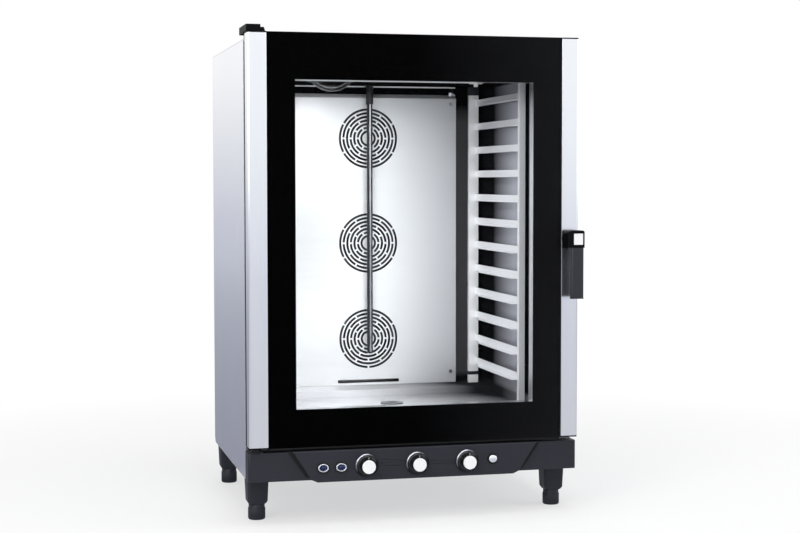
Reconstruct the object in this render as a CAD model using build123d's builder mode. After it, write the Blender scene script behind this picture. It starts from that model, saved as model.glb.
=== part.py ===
from build123d import *
import math
import os

# A floor-standing or bench-standing steam convection oven for twelve trays.
# Millimetres. X runs along the front, Y from the front to the back, Z up from the floor.
# The origin is on the floor, under the middle of the cabinet's width and of the whole depth.
os.makedirs("parts", exist_ok=True)

# Fits and clearances
running_clearance = 0.05
seat_gap = 0.3
free_gap = 0.5

# Cabinet
cabinet_width = 860.0
cabinet_top_z = 1210.0
side_lift = 3.0
panel_depth = 600.0
sheet = 1.5
corner_cut = 12.0

# Door
door_side_gap = 1.0
door_lift = 12.0
door_rise = 15.0
door_thickness = 44.0
left_profile_width = 48.0
right_profile_width = 45.0
profile_wall = 2.0
profile_round = 5.0
profile_cap = 3.0
cap_plug_depth = 25.0
outer_glass_thickness = 5.0
glass_bevel = 0.5
outer_glass_inset = 2.0
enamel_thickness = 0.6
inner_glass_thickness = 4.0
inner_glass_lap = 11.0
glass_to_door_back = 3.0
frame_wall = 2.0
window_lap = 7.0
window_low_lap = 29.0
window_high_lap = 17.0

# Gasket and door mouth
gasket_gap = 16.0
mouth_lap = 9.0
mouth_lip = 1.0
gasket_width = 18.0
gasket_corner = 14.0
gasket_lip = 4.0

# Cooking cavity
cavity_side_room = 105.0
rack_room = 23.0
cavity_floor_lift = 77.0
ceiling_drop = 83.0
cavity_depth = 546.0
ledge_height = 19.0
ledge_start = 357.0
baffle_to_mouth = 463.0
insulation_thickness = 45.0

# Base and legs
base_bottom_z = 110.0
base_height = 73.0
base_wall = 3.0
base_setback = 14.0
leg_top_side = 56.0
leg_bottom_side = 51.0
leg_taper_height = 7.0
leg_tip_side = 44.0
leg_inset_x = 35.0
front_leg_setback = 48.0
rear_leg_setback = 36.0
foot_radius = 21.5
foot_pad_height = 27.0
foot_neck_radius = 20.5
foot_height = 41.0
foot_travel = 25.0
stem_radius = 6.0
stem_grip = 15.0
foot_bevel = 2.0
leg_corner = 7.5
leg_tip_corner = 10.0

# Control fascia
fascia_proud = 12.0
fascia_wall = 4.0
fascia_drop = 5.0
fascia_top_half = 320.0
fascia_low_half = 272.0
fascia_foot_half = 256.0
fascia_low_rise = 7.0
fascia_rim = 9.0
fascia_lip = 2.0
fascia_bevel = 2.0
knob_lift = 34.0
knob_spacing = 131.5
knob_radius = 24.5
knob_skirt_depth = 8.0
knob_grip_radius = 19.0
knob_length = 26.0
knob_cap_radius = 17.0
knob_cap_thickness = 5.0
knob_cap_round = 1.6
knob_bevel = 2.0
knob_mark_radius = 1.6
knob_mark_depth = 1.0
knob_shaft_radius = 3.0
spindle_depth = 28.0
spindle_bore_depth = 30.0
knob_ring_radius = 30.5
ring_thickness = 4.0
ring_bevel = 2.0
lens_stand_out = 2.0
lens_round = 1.0
switch_width = 44.0
switch_height = 40.0
switch_depth = 40.0
lamp_spacing = 46.0
lamp_first_x = -243.0
lamp_lift = 32.0
lamp_lens_radius = 7.2
lamp_ring_radius = 12.0
button_x = 200.0
button_lift = 37.0
button_radius = 11.0
button_ring_radius = 14.0
button_travel = 3.0
button_stand_out = 5.0
button_round = 1.5
plunger_depth = 20.0
plunger_radius = 4.0
button_switch_side = 22.0

# Handle
handle_reach = 50.0
handle_setback = 31.0
handle_head_left = right_profile_width - handle_setback
handle_head_height = 44.0
handle_head_depth = 44.0
grip_width = 34.0
grip_length = 130.0
grip_thickness = 14.0
grip_round = 5.0
grip_edge_round = 2.5
grip_setback = 2.0
head_round = 12.0
inset_width = 25.0
inset_height = 29.0
inset_thickness = 2.0
inset_offset = 14.0
inset_bevel = 0.5
handle_boss_radius = 14.0
latch_shaft_radius = 6.0
latch_arm = 21.0
latch_arm_width = 14.0
latch_nose_round = 3.5
latch_thickness = 6.0
latch_reach = 8.0
latch_hole_radius = 23.5
keeper_wall = 2.0
keeper_depth = 34.0
keeper_pin_radius = 3.0

# Hinge
pivot_inset = 19.0
pivot_setback = 22.0
hinge_pin_radius = 6.0
hinge_pin_length = 24.0
hinge_plate = 5.0
hinge_boss_radius = 13.0
hinge_arm_width = 32.0
hinge_foot_depth = 20.0
hinge_side_gap = 5.0
hinge_top_gap = 1.0
cap_rise = 17.5
cap_low_rise = 10.5
cap_wall = 2.0
cap_tall_width = 36.0
cap_width = 47.5
cap_slant = 3.5
cap_lift = 14.0
cap_front_setback = 6.0
cap_sweep_clear = 54.0
cap_depth = 118.0

# Racks
rail_count = 12
lowest_rail_lift = 82.5
highest_rail_drop = 47.5
rail_height = 19.0
rail_sheet = 2.0
rail_ledge = 18.0
rail_inset = 1.5
ledge_nip_start = 81.0
ledge_nip_end = 21.5
front_post_setback = 38.0
rear_post_setback = 438.0
post_width = 16.0
post_depth = 16.0
rear_post_depth = 12.0
rear_post_reach = 20.0
rear_post_width = 28.0
front_post_drop = 10.0
rear_post_drop = 2.0
weld_gap = 0.2
stud_radius = 4.0
stud_bite = 3.0

# Air baffle, fans and heaters
fan_x = -8.0
fan_shares = [0.174164, 0.487889, 0.829296]
baffle_side_room = 67.0
baffle_drop = 34.0
baffle_flange = 11.0
grille_ring_count = 7
grille_inner_radius = 19.5
grille_pitch = 10.3
grille_slot = 6.2
grille_bridge = 5.0
ceiling_rail_height = 8.0
baffle_slot_half = 89.0
baffle_slot_lift = 11.0
baffle_slot_height = 9.0
standoff_radius = 6.0
baffle_screw_inset = 16.0
fan_radius = 90.0
fan_depth = 50.0
fan_disc = 2.0
fan_blades = 8
fan_back_clearance = 8.0
hub_radius = 16.0
hub_length = 34.0
blade_length = 50.0
blade_centre_radius = 65.0
blade_slant = 35.0
shroud_radius = 70.0
fan_shaft_radius = 6.0
shaft_hole_radius = 12.0
heater_radius = 108.0
heater_tube_radius = 4.5
heater_tail_radius = 5.5
heater_ring_pitch = 20.0
heater_gap_degrees = 30.0
motor_radius = 55.0
motor_length = 90.0
motor_flange = 130.0
motor_flange_thickness = 4.0

# Steam lance, lamp, drain, vent and services
lance_radius = 8.0
lance_wall = 1.5
lance_to_baffle = 20.0
lance_lift = 112.0
lance_rise = 50.0
lance_sleeve_radius = 10.5
lance_sleeve_length = 52.0
oven_lamp_x = -158.0
oven_lamp_setback = 238.0
oven_lamp_radius = 58.0
oven_lamp_drop = 30.0
oven_lamp_ring = 66.0
oven_lamp_ring_thickness = 3.0
oven_lamp_can_radius = 48.0
oven_lamp_can_height = 36.0
lens_wall = 3.0
lens_rim_width = 5.0
lamp_can_wall = 2.0
bulb_radius = 7.0
bulb_length = 30.0
bulb_round = 6.3
drain_setback = 213.0
drain_plate_radius = 31.0
drain_plate_thickness = 2.5
drain_hole_radius = 2.2
drain_edge_round = 1.2
drain_spigot_depth = 8.0
drain_pipe_radius = 20.0
drain_pipe_wall = 2.0
drain_spigot_radius = 19.0
drain_spigot_length = 36.0
vent_x = 170.0
vent_radius = 25.0
vent_wall = 2.0
vent_flange_radius = 40.0
vent_rise = 40.0
rear_cover_depth = 120.0
rear_cover_half_width = 130.0
rear_cover_margin = 110.0
service_inset = 65.0
water_valve_lift = 117.0
water_body_side = 40.0
water_body_round = 5.0
water_spigot_radius = 8.0
water_bore_radius = 9.0
water_thread_radius = 13.2
water_thread_length = 16.0
gland_lift = 32.0
gland_bore_radius = 6.5
gland_thread_radius = 10.0
gland_radius = 14.0
gland_length = 30.0
gland_hex_length = 10.0
gland_nut_radius = 13.0
gland_round = 3.5
gland_thread_reach = 7.5
screw_head_radius = 5.0
screw_head_height = 3.0
screw_shank_radius = 2.0
screw_shank_length = 6.0
screw_inset = 10.0
cover_flange = 15.0
louvre_length = 100.0
side_louvre_length = 72.0
louvre_height = 6.0
louvre_pitch = 16.0
louvres = 7

# Places worked out from the sizes above
door_depth_stack = handle_reach + door_thickness + gasket_gap
overall_depth = door_depth_stack + panel_depth + rear_cover_depth
door_face_y = handle_reach - overall_depth / 2
base_top_z = base_bottom_z + base_height
side_bottom_z = base_bottom_z + side_lift
door_bottom_z = base_top_z + door_lift
door_top_z = cabinet_top_z + door_rise
cavity_floor_z = base_top_z + cavity_floor_lift
cavity_ceiling_z = cabinet_top_z - ceiling_drop
cavity_half_width = cabinet_width / 2 - cavity_side_room
tray_clear_half = cavity_half_width - rack_room
baffle_half_width = cavity_half_width - baffle_side_room
mouth_half_width = cavity_half_width - mouth_lap
mouth_bottom_z = cavity_floor_z + mouth_lip
mouth_top_z = cavity_ceiling_z - mouth_lip
window_half_width = mouth_half_width - window_lap
window_bottom_z = mouth_bottom_z + window_low_lap
window_top_z = mouth_top_z - window_high_lap
cavity_height = cavity_ceiling_z - cavity_floor_z
lowest_rail_z = cavity_floor_z + lowest_rail_lift
rail_pitch = (cavity_height - lowest_rail_lift - highest_rail_drop) / (rail_count - 1)
post_top_z = cavity_ceiling_z - front_post_drop
rear_post_top_z = cavity_ceiling_z - rear_post_drop
fan_levels = [cavity_floor_z + share * cavity_height for share in fan_shares]
baffle_top_z = cavity_ceiling_z - baffle_drop
lance_bottom_z = cavity_floor_z + lance_lift
vent_top_z = cabinet_top_z + vent_rise
fascia_bottom_z = base_bottom_z - fascia_drop
knob_z = base_bottom_z + knob_lift
lamp_z = base_bottom_z + lamp_lift
button_z = base_bottom_z + button_lift
cap_top_z = door_top_z + cap_rise
cap_low_top_z = door_top_z + cap_low_rise
door_back_y = door_face_y + door_thickness
frame_face_y = door_back_y + gasket_gap
panel_back_y = frame_face_y + panel_depth
base_front_y = door_face_y + base_setback
fascia_face_y = base_front_y - fascia_proud
side_x = cabinet_width / 2
inner_side_x = side_x - sheet
door_right_x = side_x - door_side_gap
door_left_x = -door_right_x
glass_left_x = door_left_x + left_profile_width
glass_right_x = door_right_x - right_profile_width
liner_front_y = frame_face_y + sheet
liner_back_y = liner_front_y + cavity_depth
ledge_y = liner_front_y + ledge_start
ledge_z = cavity_floor_z + ledge_height
baffle_slot_z = ledge_z + baffle_slot_lift
handle_x = door_right_x - handle_setback
handle_z = (door_bottom_z + door_top_z) / 2
pivot_x = door_left_x + pivot_inset
service_x = side_x - service_inset
water_valve_z = base_top_z + water_valve_lift
gland_z = base_top_z + gland_lift
baffle_y = liner_front_y + baffle_to_mouth
front_leg_y = frame_face_y + front_leg_setback
rear_leg_y = panel_back_y - rear_leg_setback
leg_x = side_x - leg_inset_x
insulation_back_y = liner_back_y + sheet + insulation_thickness
rear_panel_y = panel_back_y - sheet
fan_back_y = liner_back_y - fan_back_clearance
pivot_y = door_face_y + pivot_setback
drain_y = liner_front_y + drain_setback
oven_lamp_y = liner_front_y + oven_lamp_setback
lance_y = baffle_y - lance_to_baffle
vent_y = (baffle_y + liner_back_y) / 2
knob_places = [-knob_spacing, 0.0, knob_spacing]
lamp_places = [lamp_first_x, lamp_first_x + lamp_spacing]
upper_screw_z = cabinet_top_z - screw_inset
lower_screw_z = (base_bottom_z + base_top_z) / 2
edge_screw_places = [step * (inner_side_x - 2 * screw_inset) / 2 for step in (-2, -1, 0, 1, 2)]
cover_bottom_z = fan_levels[0] - rear_cover_margin
cover_top_z = fan_levels[-1] + rear_cover_margin
cover_screw_places = [
    (fan_x + side * (rear_cover_half_width + cover_flange / 2), z)
    for side in (-1, 1)
    for z in (cover_bottom_z, (cover_bottom_z + cover_top_z) / 2, cover_top_z)
]
standoff_places = [
    (fan_x + side * (baffle_half_width - baffle_screw_inset), z)
    for side in (-1, 1)
    for z in (ledge_z + 2 * baffle_screw_inset, baffle_top_z - baffle_screw_inset)
]


def facing_front(y):
    """A plane across the oven at depth y: its x is X, its y is Z, and it faces the user."""
    return Plane.XZ.offset(-y)


def facing_side(x):
    """A plane from front to back at width x: its x is Y, its y is Z, and it faces right."""
    return Plane.YZ.offset(x)


def level(z):
    """A horizontal plane at height z."""
    return Plane.XY.offset(z)


def block(low, high, mode=Mode.ADD):
    """A square block between two corners, in the part that is being built."""
    middle = [(a + b) / 2 for a, b in zip(low, high)]
    size = [b - a for a, b in zip(low, high)]
    with Locations(tuple(middle)):
        Box(*size, mode=mode)


def rod(centre, radius, length, axis="Z", mode=Mode.ADD):
    """A round bar that starts at centre and runs length along the axis named."""
    turns = {"X": (0, 90, 0), "Y": (-90, 0, 0), "Z": (0, 0, 0)}
    with Locations(Location(centre, turns[axis])):
        Cylinder(radius, length, align=(Align.CENTER, Align.CENTER, Align.MIN), mode=mode)


def drill_screw(x, y, z):
    """A hole for a sheet screw that runs backwards from depth y."""
    bore = screw_shank_radius + running_clearance
    rod((x, y - sheet, z), bore, screw_shank_length + 2 * sheet, "Y", Mode.SUBTRACT)


def sheet_screw(x, y, z):
    """A round-headed screw whose head rests on the plane at depth y and points forwards."""
    rod((x, y - screw_head_height, z), screw_head_radius, screw_head_height, "Y")
    rod((x, y, z), screw_shank_radius, screw_shank_length, "Y")


# Base tray: the open steel pan behind the front moulding
drain_clear = drain_pipe_radius + seat_gap
with BuildPart() as base_tray:
    block(
        (-inner_side_x, frame_face_y, base_bottom_z),
        (inner_side_x, rear_panel_y, base_top_z),
    )
    block(
        (-inner_side_x + sheet, frame_face_y + sheet, base_bottom_z + sheet),
        (inner_side_x - sheet, rear_panel_y - sheet, base_top_z),
        Mode.SUBTRACT,
    )
    rod((0, drain_y, base_bottom_z - sheet), drain_clear, 3 * sheet, mode=Mode.SUBTRACT)
    for x in edge_screw_places:
        drill_screw(x, rear_panel_y - sheet, lower_screw_z)
base_tray.part.label = "base_tray"
export_step(base_tray.part, "parts/base_tray.step")

# Base moulding: the hollow front of the base, open at the back
with BuildPart() as base_moulding:
    block((-side_x, base_front_y, base_bottom_z), (side_x, frame_face_y, base_top_z))
    upright_edges = base_moulding.edges().filter_by(Axis.Z).group_by(Axis.Y)[0]
    fillet(upright_edges, radius=base_wall * 2)
    block(
        (-side_x + 2 * base_wall, base_front_y + base_wall, base_bottom_z + base_wall),
        (side_x - 2 * base_wall, frame_face_y, base_top_z - base_wall),
        Mode.SUBTRACT,
    )
    block(
        (-fascia_low_half + fascia_rim, base_front_y, base_bottom_z + base_wall),
        (fascia_low_half - fascia_rim, base_front_y + base_wall, base_top_z - base_wall),
        Mode.SUBTRACT,
    )
base_moulding.part.label = "base_moulding"
export_step(base_moulding.part, "parts/base_moulding.step")

# Control fascia: a proud panel with slanted ends, hollow behind
fascia_top_z = base_top_z + fascia_lip
fascia_low_z = fascia_bottom_z + fascia_low_rise
with BuildPart() as control_fascia:
    with BuildSketch(facing_front(base_front_y)):
        Polygon(
            (-fascia_top_half, fascia_top_z),
            (-fascia_low_half, fascia_low_z),
            (-fascia_foot_half, fascia_bottom_z),
            (fascia_foot_half, fascia_bottom_z),
            (fascia_low_half, fascia_low_z),
            (fascia_top_half, fascia_top_z),
            align=None,
        )
    extrude(amount=fascia_proud)
    front_edges = control_fascia.faces().sort_by(Axis.Y)[0].edges()
    chamfer(front_edges, length=fascia_bevel)
    with BuildSketch(facing_front(base_front_y)):
        with Locations((0, (base_bottom_z + base_top_z) / 2)):
            Rectangle(2 * (fascia_low_half - fascia_rim), base_top_z - base_bottom_z - 2 * base_wall)
    extrude(amount=fascia_proud - fascia_wall, mode=Mode.SUBTRACT)
    with BuildSketch(facing_front(base_front_y)):
        with Locations([(x, knob_z) for x in knob_places]):
            Circle(knob_shaft_radius + free_gap)
        with Locations([(x, lamp_z) for x in lamp_places]):
            Circle(lamp_lens_radius + seat_gap)
        with Locations((button_x, button_z)):
            Circle(button_radius + seat_gap)
    extrude(amount=fascia_proud, mode=Mode.SUBTRACT)
control_fascia.part.label = "control_fascia"
export_step(control_fascia.part, "parts/control_fascia.step")


def dress_ring(x, z, inner_radius, outer_radius):
    """A bevelled ring that lies on the fascia round a knob, lamp or button."""
    face = fascia_face_y
    with BuildPart() as ring:
        with BuildSketch(Plane(origin=(x, face, z), x_dir=(1, 0, 0), z_dir=(0, 0, 1))):
            Polygon(
                (inner_radius, 0),
                (outer_radius, 0),
                (outer_radius - ring_bevel, -ring_thickness),
                (inner_radius, -ring_bevel),
                align=None,
            )
        revolve(axis=Axis((x, face, z), (0, 1, 0)))
    return ring.part


# Bright rings: three round the knobs, two round the lamps and one round the button
with BuildPart() as fascia_rings:
    for x in knob_places:
        add(dress_ring(x, knob_z, knob_radius + free_gap, knob_ring_radius))
    for x in lamp_places:
        add(dress_ring(x, lamp_z, lamp_lens_radius + seat_gap, lamp_ring_radius))
    add(dress_ring(button_x, button_z, button_radius + seat_gap, button_ring_radius))
fascia_rings.part.label = "fascia_rings"
export_step(fascia_rings.part, "parts/fascia_rings.step")

# Pilot lamp lenses: short round windows with a domed front
switch_front_y = fascia_face_y + fascia_wall
with BuildPart() as pilot_lenses:
    for x in lamp_places:
        lens_length = lens_stand_out + fascia_wall
        rod((x, fascia_face_y - lens_stand_out, lamp_z), lamp_lens_radius, lens_length, "Y")
        rod((x, switch_front_y, lamp_z), lamp_ring_radius, fascia_wall, "Y")
    lens_fronts = pilot_lenses.faces().filter_by(Axis.Y).group_by(Axis.Y)[0]
    fillet(lens_fronts.edges(), radius=lens_round)
pilot_lenses.part.label = "pilot_lenses"
export_step(pilot_lenses.part, "parts/pilot_lenses.step")


def knob_body(x):
    """A skirted round knob with its spindle, turned about the spindle."""
    back = fascia_face_y - free_gap
    skirt = back - knob_skirt_depth
    front = back - knob_length
    spindle_end = switch_front_y + spindle_depth
    with BuildPart() as knob:
        with BuildSketch(Plane(origin=(x, 0, knob_z), x_dir=(1, 0, 0), z_dir=(0, 0, 1))):
            Polygon(
                (0, spindle_end),
                (knob_shaft_radius, spindle_end),
                (knob_shaft_radius, back),
                (knob_radius, back),
                (knob_radius, skirt + knob_bevel),
                (knob_radius - knob_bevel, skirt),
                (knob_grip_radius, skirt),
                (knob_cap_radius, front),
                (0, front),
                align=None,
            )
        revolve(axis=Axis((x, 0, knob_z), (0, 1, 0)))
        mark_z = knob_z + (knob_radius + knob_grip_radius) / 2
        rod((x, skirt, mark_z), knob_mark_radius, knob_mark_depth, "Y", Mode.SUBTRACT)
    return knob.part


def knob_cap(x):
    """The pale round cap on the front of a knob."""
    front = fascia_face_y - free_gap - knob_length
    with BuildPart() as cap:
        rod((x, front - knob_cap_thickness, knob_z), knob_cap_radius, knob_cap_thickness, "Y")
        fillet(cap.faces().sort_by(Axis.Y)[0].edges(), radius=knob_cap_round)
    return cap.part


knob_names = ["timer_knob", "temperature_knob", "steam_knob"]
for knob_name, knob_x in zip(knob_names, knob_places):
    knob = knob_body(knob_x)
    knob.label = knob_name
    export_step(knob, f"parts/{knob_name}.step")
    cap = knob_cap(knob_x)
    cap.label = knob_name + "_cap"
    export_step(cap, f"parts/{knob_name}_cap.step")

# Control switches behind the fascia: timer, thermostat, steam regulator and button switch
with BuildPart() as control_switches:
    for x in knob_places:
        block(
            (x - switch_width / 2, switch_front_y, knob_z - switch_height / 2),
            (x + switch_width / 2, switch_front_y + switch_depth, knob_z + switch_height / 2),
        )
        bore = knob_shaft_radius + running_clearance
        rod((x, switch_front_y, knob_z), bore, spindle_bore_depth, "Y", Mode.SUBTRACT)
    half_side = button_switch_side / 2
    block(
        (button_x - half_side, switch_front_y, button_z - half_side),
        (button_x + half_side, switch_front_y + switch_depth, button_z + half_side),
    )
    bore = plunger_radius + running_clearance
    rod((button_x, switch_front_y, button_z), bore, spindle_bore_depth, "Y", Mode.SUBTRACT)
control_switches.part.label = "control_switches"
export_step(control_switches.part, "parts/control_switches.step")

# Push button: a round cap on a plunger, which travels into its switch
with BuildPart() as push_button:
    front = fascia_face_y - button_stand_out
    head_length = button_stand_out + fascia_wall - button_travel - free_gap
    rod((button_x, front, button_z), button_radius, head_length, "Y")
    fillet(push_button.faces().sort_by(Axis.Y)[0].edges(), radius=button_round)
    rod((button_x, front, button_z), plunger_radius, head_length + plunger_depth, "Y")
push_button.part.label = "push_button"
export_step(push_button.part, "parts/push_button.step")

# Legs: four tapered moulded legs, drawn in at the bottom, with a bore for the foot's stem
leg_places = [
    (-leg_x, front_leg_y),
    (leg_x, front_leg_y),
    (-leg_x, rear_leg_y),
    (leg_x, rear_leg_y),
]
stem_bore = stem_radius + running_clearance
with BuildPart() as legs:
    for x, y in leg_places:
        leg_waist_z = foot_height + leg_taper_height
        with BuildSketch(Plane((x, y, leg_waist_z))):
            RectangleRounded(leg_bottom_side, leg_bottom_side, leg_corner)
        with BuildSketch(Plane((x, y, base_bottom_z))):
            RectangleRounded(leg_top_side, leg_top_side, leg_corner)
        loft()
        with BuildSketch(Plane((x, y, foot_height + seat_gap))):
            RectangleRounded(leg_tip_side, leg_tip_side, leg_tip_corner)
        with BuildSketch(Plane((x, y, leg_waist_z))):
            RectangleRounded(leg_bottom_side, leg_bottom_side, leg_corner)
        loft()
        bore_length = base_bottom_z - foot_height - base_wall
        rod((x, y, foot_height), stem_bore, bore_length, mode=Mode.SUBTRACT)
legs.part.label = "legs"
export_step(legs.part, "parts/legs.step")


stem_top_z = foot_height + foot_travel + stem_grip


def levelling_foot(x, y):
    """A round foot with a narrower neck and a stem that slides in the leg."""
    with BuildPart() as foot:
        with BuildSketch(Plane(origin=(x, y, 0), x_dir=(1, 0, 0), z_dir=(0, -1, 0))):
            Polygon(
                (0, 0),
                (foot_radius - foot_bevel, 0),
                (foot_radius, foot_bevel),
                (foot_radius, foot_pad_height),
                (foot_neck_radius, foot_pad_height + foot_bevel),
                (foot_neck_radius, foot_height),
                (stem_radius, foot_height),
                (stem_radius, stem_top_z),
                (0, stem_top_z),
                align=None,
            )
        revolve(axis=Axis((x, y, 0), (0, 0, 1)))
    return foot.part


foot_names = ["front_left_foot", "front_right_foot", "rear_left_foot", "rear_right_foot"]
for foot_name, (foot_x, foot_y) in zip(foot_names, leg_places):
    foot = levelling_foot(foot_x, foot_y)
    foot.label = foot_name
    export_step(foot, f"parts/{foot_name}.step")


def side_panel(outer_x, inner_x):
    """A flat side sheet with its lower back corner cut off."""
    with BuildPart() as panel:
        with BuildSketch(facing_side(min(outer_x, inner_x))):
            Polygon(
                (frame_face_y, side_bottom_z),
                (panel_back_y - corner_cut, side_bottom_z),
                (panel_back_y, side_bottom_z + corner_cut),
                (panel_back_y, cabinet_top_z),
                (frame_face_y, cabinet_top_z),
                align=None,
            )
        extrude(amount=sheet)
    return panel.part


left_side_panel = side_panel(-side_x, -inner_side_x)
left_side_panel.label = "left_side_panel"
export_step(left_side_panel, "parts/left_side_panel.step")

right_side_panel = side_panel(side_x, inner_side_x)
right_side_panel.label = "right_side_panel"
export_step(right_side_panel, "parts/right_side_panel.step")

# Top panel: a flat lid between the sides, with the vent hole and a turned-down back edge
with BuildPart() as top_panel:
    block(
        (-inner_side_x, liner_front_y, cabinet_top_z - sheet),
        (inner_side_x, panel_back_y, cabinet_top_z),
    )
    block(
        (-inner_side_x, rear_panel_y - sheet, cabinet_top_z - 2 * screw_inset),
        (inner_side_x, rear_panel_y, cabinet_top_z - sheet),
    )
    vent_hole = vent_radius + seat_gap
    rod((vent_x, vent_y, cabinet_top_z - 2 * sheet), vent_hole, 4 * sheet, mode=Mode.SUBTRACT)
    for x in edge_screw_places:
        drill_screw(x, rear_panel_y - sheet, upper_screw_z)
top_panel.part.label = "top_panel"
export_step(top_panel.part, "parts/top_panel.step")

# Rear panel: a flat sheet with holes for the three shafts, the heater tails and the services
heater_tail_angles = [-90 - heater_gap_degrees / 2, -90 + heater_gap_degrees / 2]


def tail_places(z):
    """Where the two tails of the heater round the fan at height z run backwards."""
    angles = [math.radians(a) for a in heater_tail_angles]
    return [(fan_x + heater_radius * math.cos(a), z + heater_radius * math.sin(a)) for a in angles]


shaft_places = [(fan_x, z) for z in fan_levels]
all_tail_places = [place for z in fan_levels for place in tail_places(z)]
with BuildPart() as rear_panel:
    block(
        (-inner_side_x, rear_panel_y, side_bottom_z + corner_cut),
        (inner_side_x, panel_back_y, cabinet_top_z - sheet),
    )
    with BuildSketch(facing_front(rear_panel_y)):
        with Locations(shaft_places):
            Circle(shaft_hole_radius)
        with Locations((service_x, gland_z)):
            Circle(gland_thread_radius + seat_gap)
        with Locations((service_x, water_valve_z)):
            Circle(water_spigot_radius + seat_gap)
    extrude(amount=-sheet, mode=Mode.SUBTRACT)
    for x in edge_screw_places:
        drill_screw(x, rear_panel_y, upper_screw_z)
        drill_screw(x, rear_panel_y, lower_screw_z)
    for x, z in cover_screw_places:
        drill_screw(x, rear_panel_y, z)
rear_panel.part.label = "rear_panel"
export_step(rear_panel.part, "parts/rear_panel.step")

# Front frame: the face of the cabinet round the mouth, with the latch hole
frame_bottom_z = base_top_z
with BuildPart() as front_frame:
    with BuildSketch(facing_front(frame_face_y)):
        with Locations((0, (frame_bottom_z + cabinet_top_z) / 2)):
            Rectangle(2 * inner_side_x, cabinet_top_z - frame_bottom_z)
        with Locations((0, (mouth_bottom_z + mouth_top_z) / 2)):
            Rectangle(2 * mouth_half_width, mouth_top_z - mouth_bottom_z, mode=Mode.SUBTRACT)
        with Locations((handle_x, handle_z)):
            Circle(latch_hole_radius, mode=Mode.SUBTRACT)
    extrude(amount=-sheet)
front_frame.part.label = "front_frame"
export_step(front_frame.part, "parts/front_frame.step")

# Door gasket: a soft loop round the mouth, with a lip on its inner side
with BuildPart() as door_gasket:
    loop_width = 2 * (mouth_half_width + gasket_width)
    loop_height = mouth_top_z - mouth_bottom_z + 2 * gasket_width
    with BuildSketch(facing_front(frame_face_y)):
        with Locations((0, (mouth_bottom_z + mouth_top_z) / 2)):
            RectangleRounded(loop_width, loop_height, gasket_corner)
            Rectangle(2 * mouth_half_width, mouth_top_z - mouth_bottom_z, mode=Mode.SUBTRACT)
    extrude(amount=gasket_gap / 2)
    with BuildSketch(facing_front(frame_face_y - gasket_gap / 2)):
        with Locations((0, (mouth_bottom_z + mouth_top_z) / 2)):
            RectangleRounded(loop_width - 2 * gasket_lip, loop_height - 2 * gasket_lip, gasket_corner)
            Rectangle(2 * mouth_half_width, mouth_top_z - mouth_bottom_z, mode=Mode.SUBTRACT)
    extrude(amount=gasket_gap / 2 - seat_gap)
door_gasket.part.label = "door_gasket"
export_step(door_gasket.part, "parts/door_gasket.step")

# Cavity liner: a welded box open to the front, with a raised ledge at the back of its floor
rear_post_y = liner_front_y + rear_post_setback
front_post_y = liner_front_y + front_post_setback
front_post_out_x = tray_clear_half + post_width
rear_post_in_x = tray_clear_half - rear_post_reach
rear_post_out_x = rear_post_in_x + rear_post_width
stud_levels = [lowest_rail_z + rail_pitch / 2, lowest_rail_z + (rail_count - 1.5) * rail_pitch]
lance_bore = lance_radius + running_clearance * 2
lamp_can_bore = oven_lamp_can_radius + seat_gap
with BuildPart() as cavity_liner:
    with BuildSketch(facing_side(-cavity_half_width - sheet)):
        Polygon(
            (liner_front_y, cavity_floor_z - sheet),
            (liner_back_y + sheet, cavity_floor_z - sheet),
            (liner_back_y + sheet, cavity_ceiling_z + sheet),
            (liner_front_y, cavity_ceiling_z + sheet),
            align=None,
        )
    extrude(amount=2 * (cavity_half_width + sheet))
    with BuildSketch(facing_side(-cavity_half_width)):
        Polygon(
            (liner_front_y, cavity_floor_z),
            (ledge_y, cavity_floor_z),
            (ledge_y, ledge_z),
            (liner_back_y, ledge_z),
            (liner_back_y, cavity_ceiling_z),
            (liner_front_y, cavity_ceiling_z),
            align=None,
        )
    extrude(amount=2 * cavity_half_width, mode=Mode.SUBTRACT)
    block(
        (-cavity_half_width, ledge_y + sheet, cavity_floor_z - sheet),
        (cavity_half_width, liner_back_y, ledge_z - sheet),
        Mode.SUBTRACT,
    )
    block(
        (-cavity_half_width, baffle_y - 2 * sheet, cavity_ceiling_z - ceiling_rail_height),
        (cavity_half_width, baffle_y - sheet, cavity_ceiling_z),
    )
    for side in (-1, 1):
        for z in stud_levels:
            for post_y, post_out_x, depth in (
                (front_post_y, front_post_out_x, post_depth),
                (rear_post_y, rear_post_out_x, rear_post_depth),
            ):
                reach = cavity_half_width - post_out_x + stud_bite
                start_x = cavity_half_width - reach if side > 0 else -cavity_half_width
                rod((start_x, post_y + depth / 2, z), stud_radius, reach, "X")
    for x, z in standoff_places:
        rod((x, baffle_y + sheet, z), standoff_radius, liner_back_y - baffle_y - sheet, "Y")
        drill_screw(x, baffle_y, z)
    with BuildSketch(facing_front(liner_back_y - sheet)):
        with Locations(shaft_places):
            Circle(shaft_hole_radius)
        with Locations(all_tail_places):
            Circle(heater_tail_radius + seat_gap)
    extrude(amount=-3 * sheet, mode=Mode.SUBTRACT)
    rod((0, drain_y, cavity_floor_z - 2 * sheet), drain_clear, 3 * sheet, mode=Mode.SUBTRACT)
    above = cavity_ceiling_z - sheet
    rod((oven_lamp_x, oven_lamp_y, above), lamp_can_bore, 4 * sheet, mode=Mode.SUBTRACT)
    rod((vent_x, vent_y, above), vent_radius + seat_gap, 4 * sheet, mode=Mode.SUBTRACT)
    rod((fan_x, lance_y, above), lance_bore, 4 * sheet, mode=Mode.SUBTRACT)
cavity_liner.part.label = "cavity_liner"
export_step(cavity_liner.part, "parts/cavity_liner.step")

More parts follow.
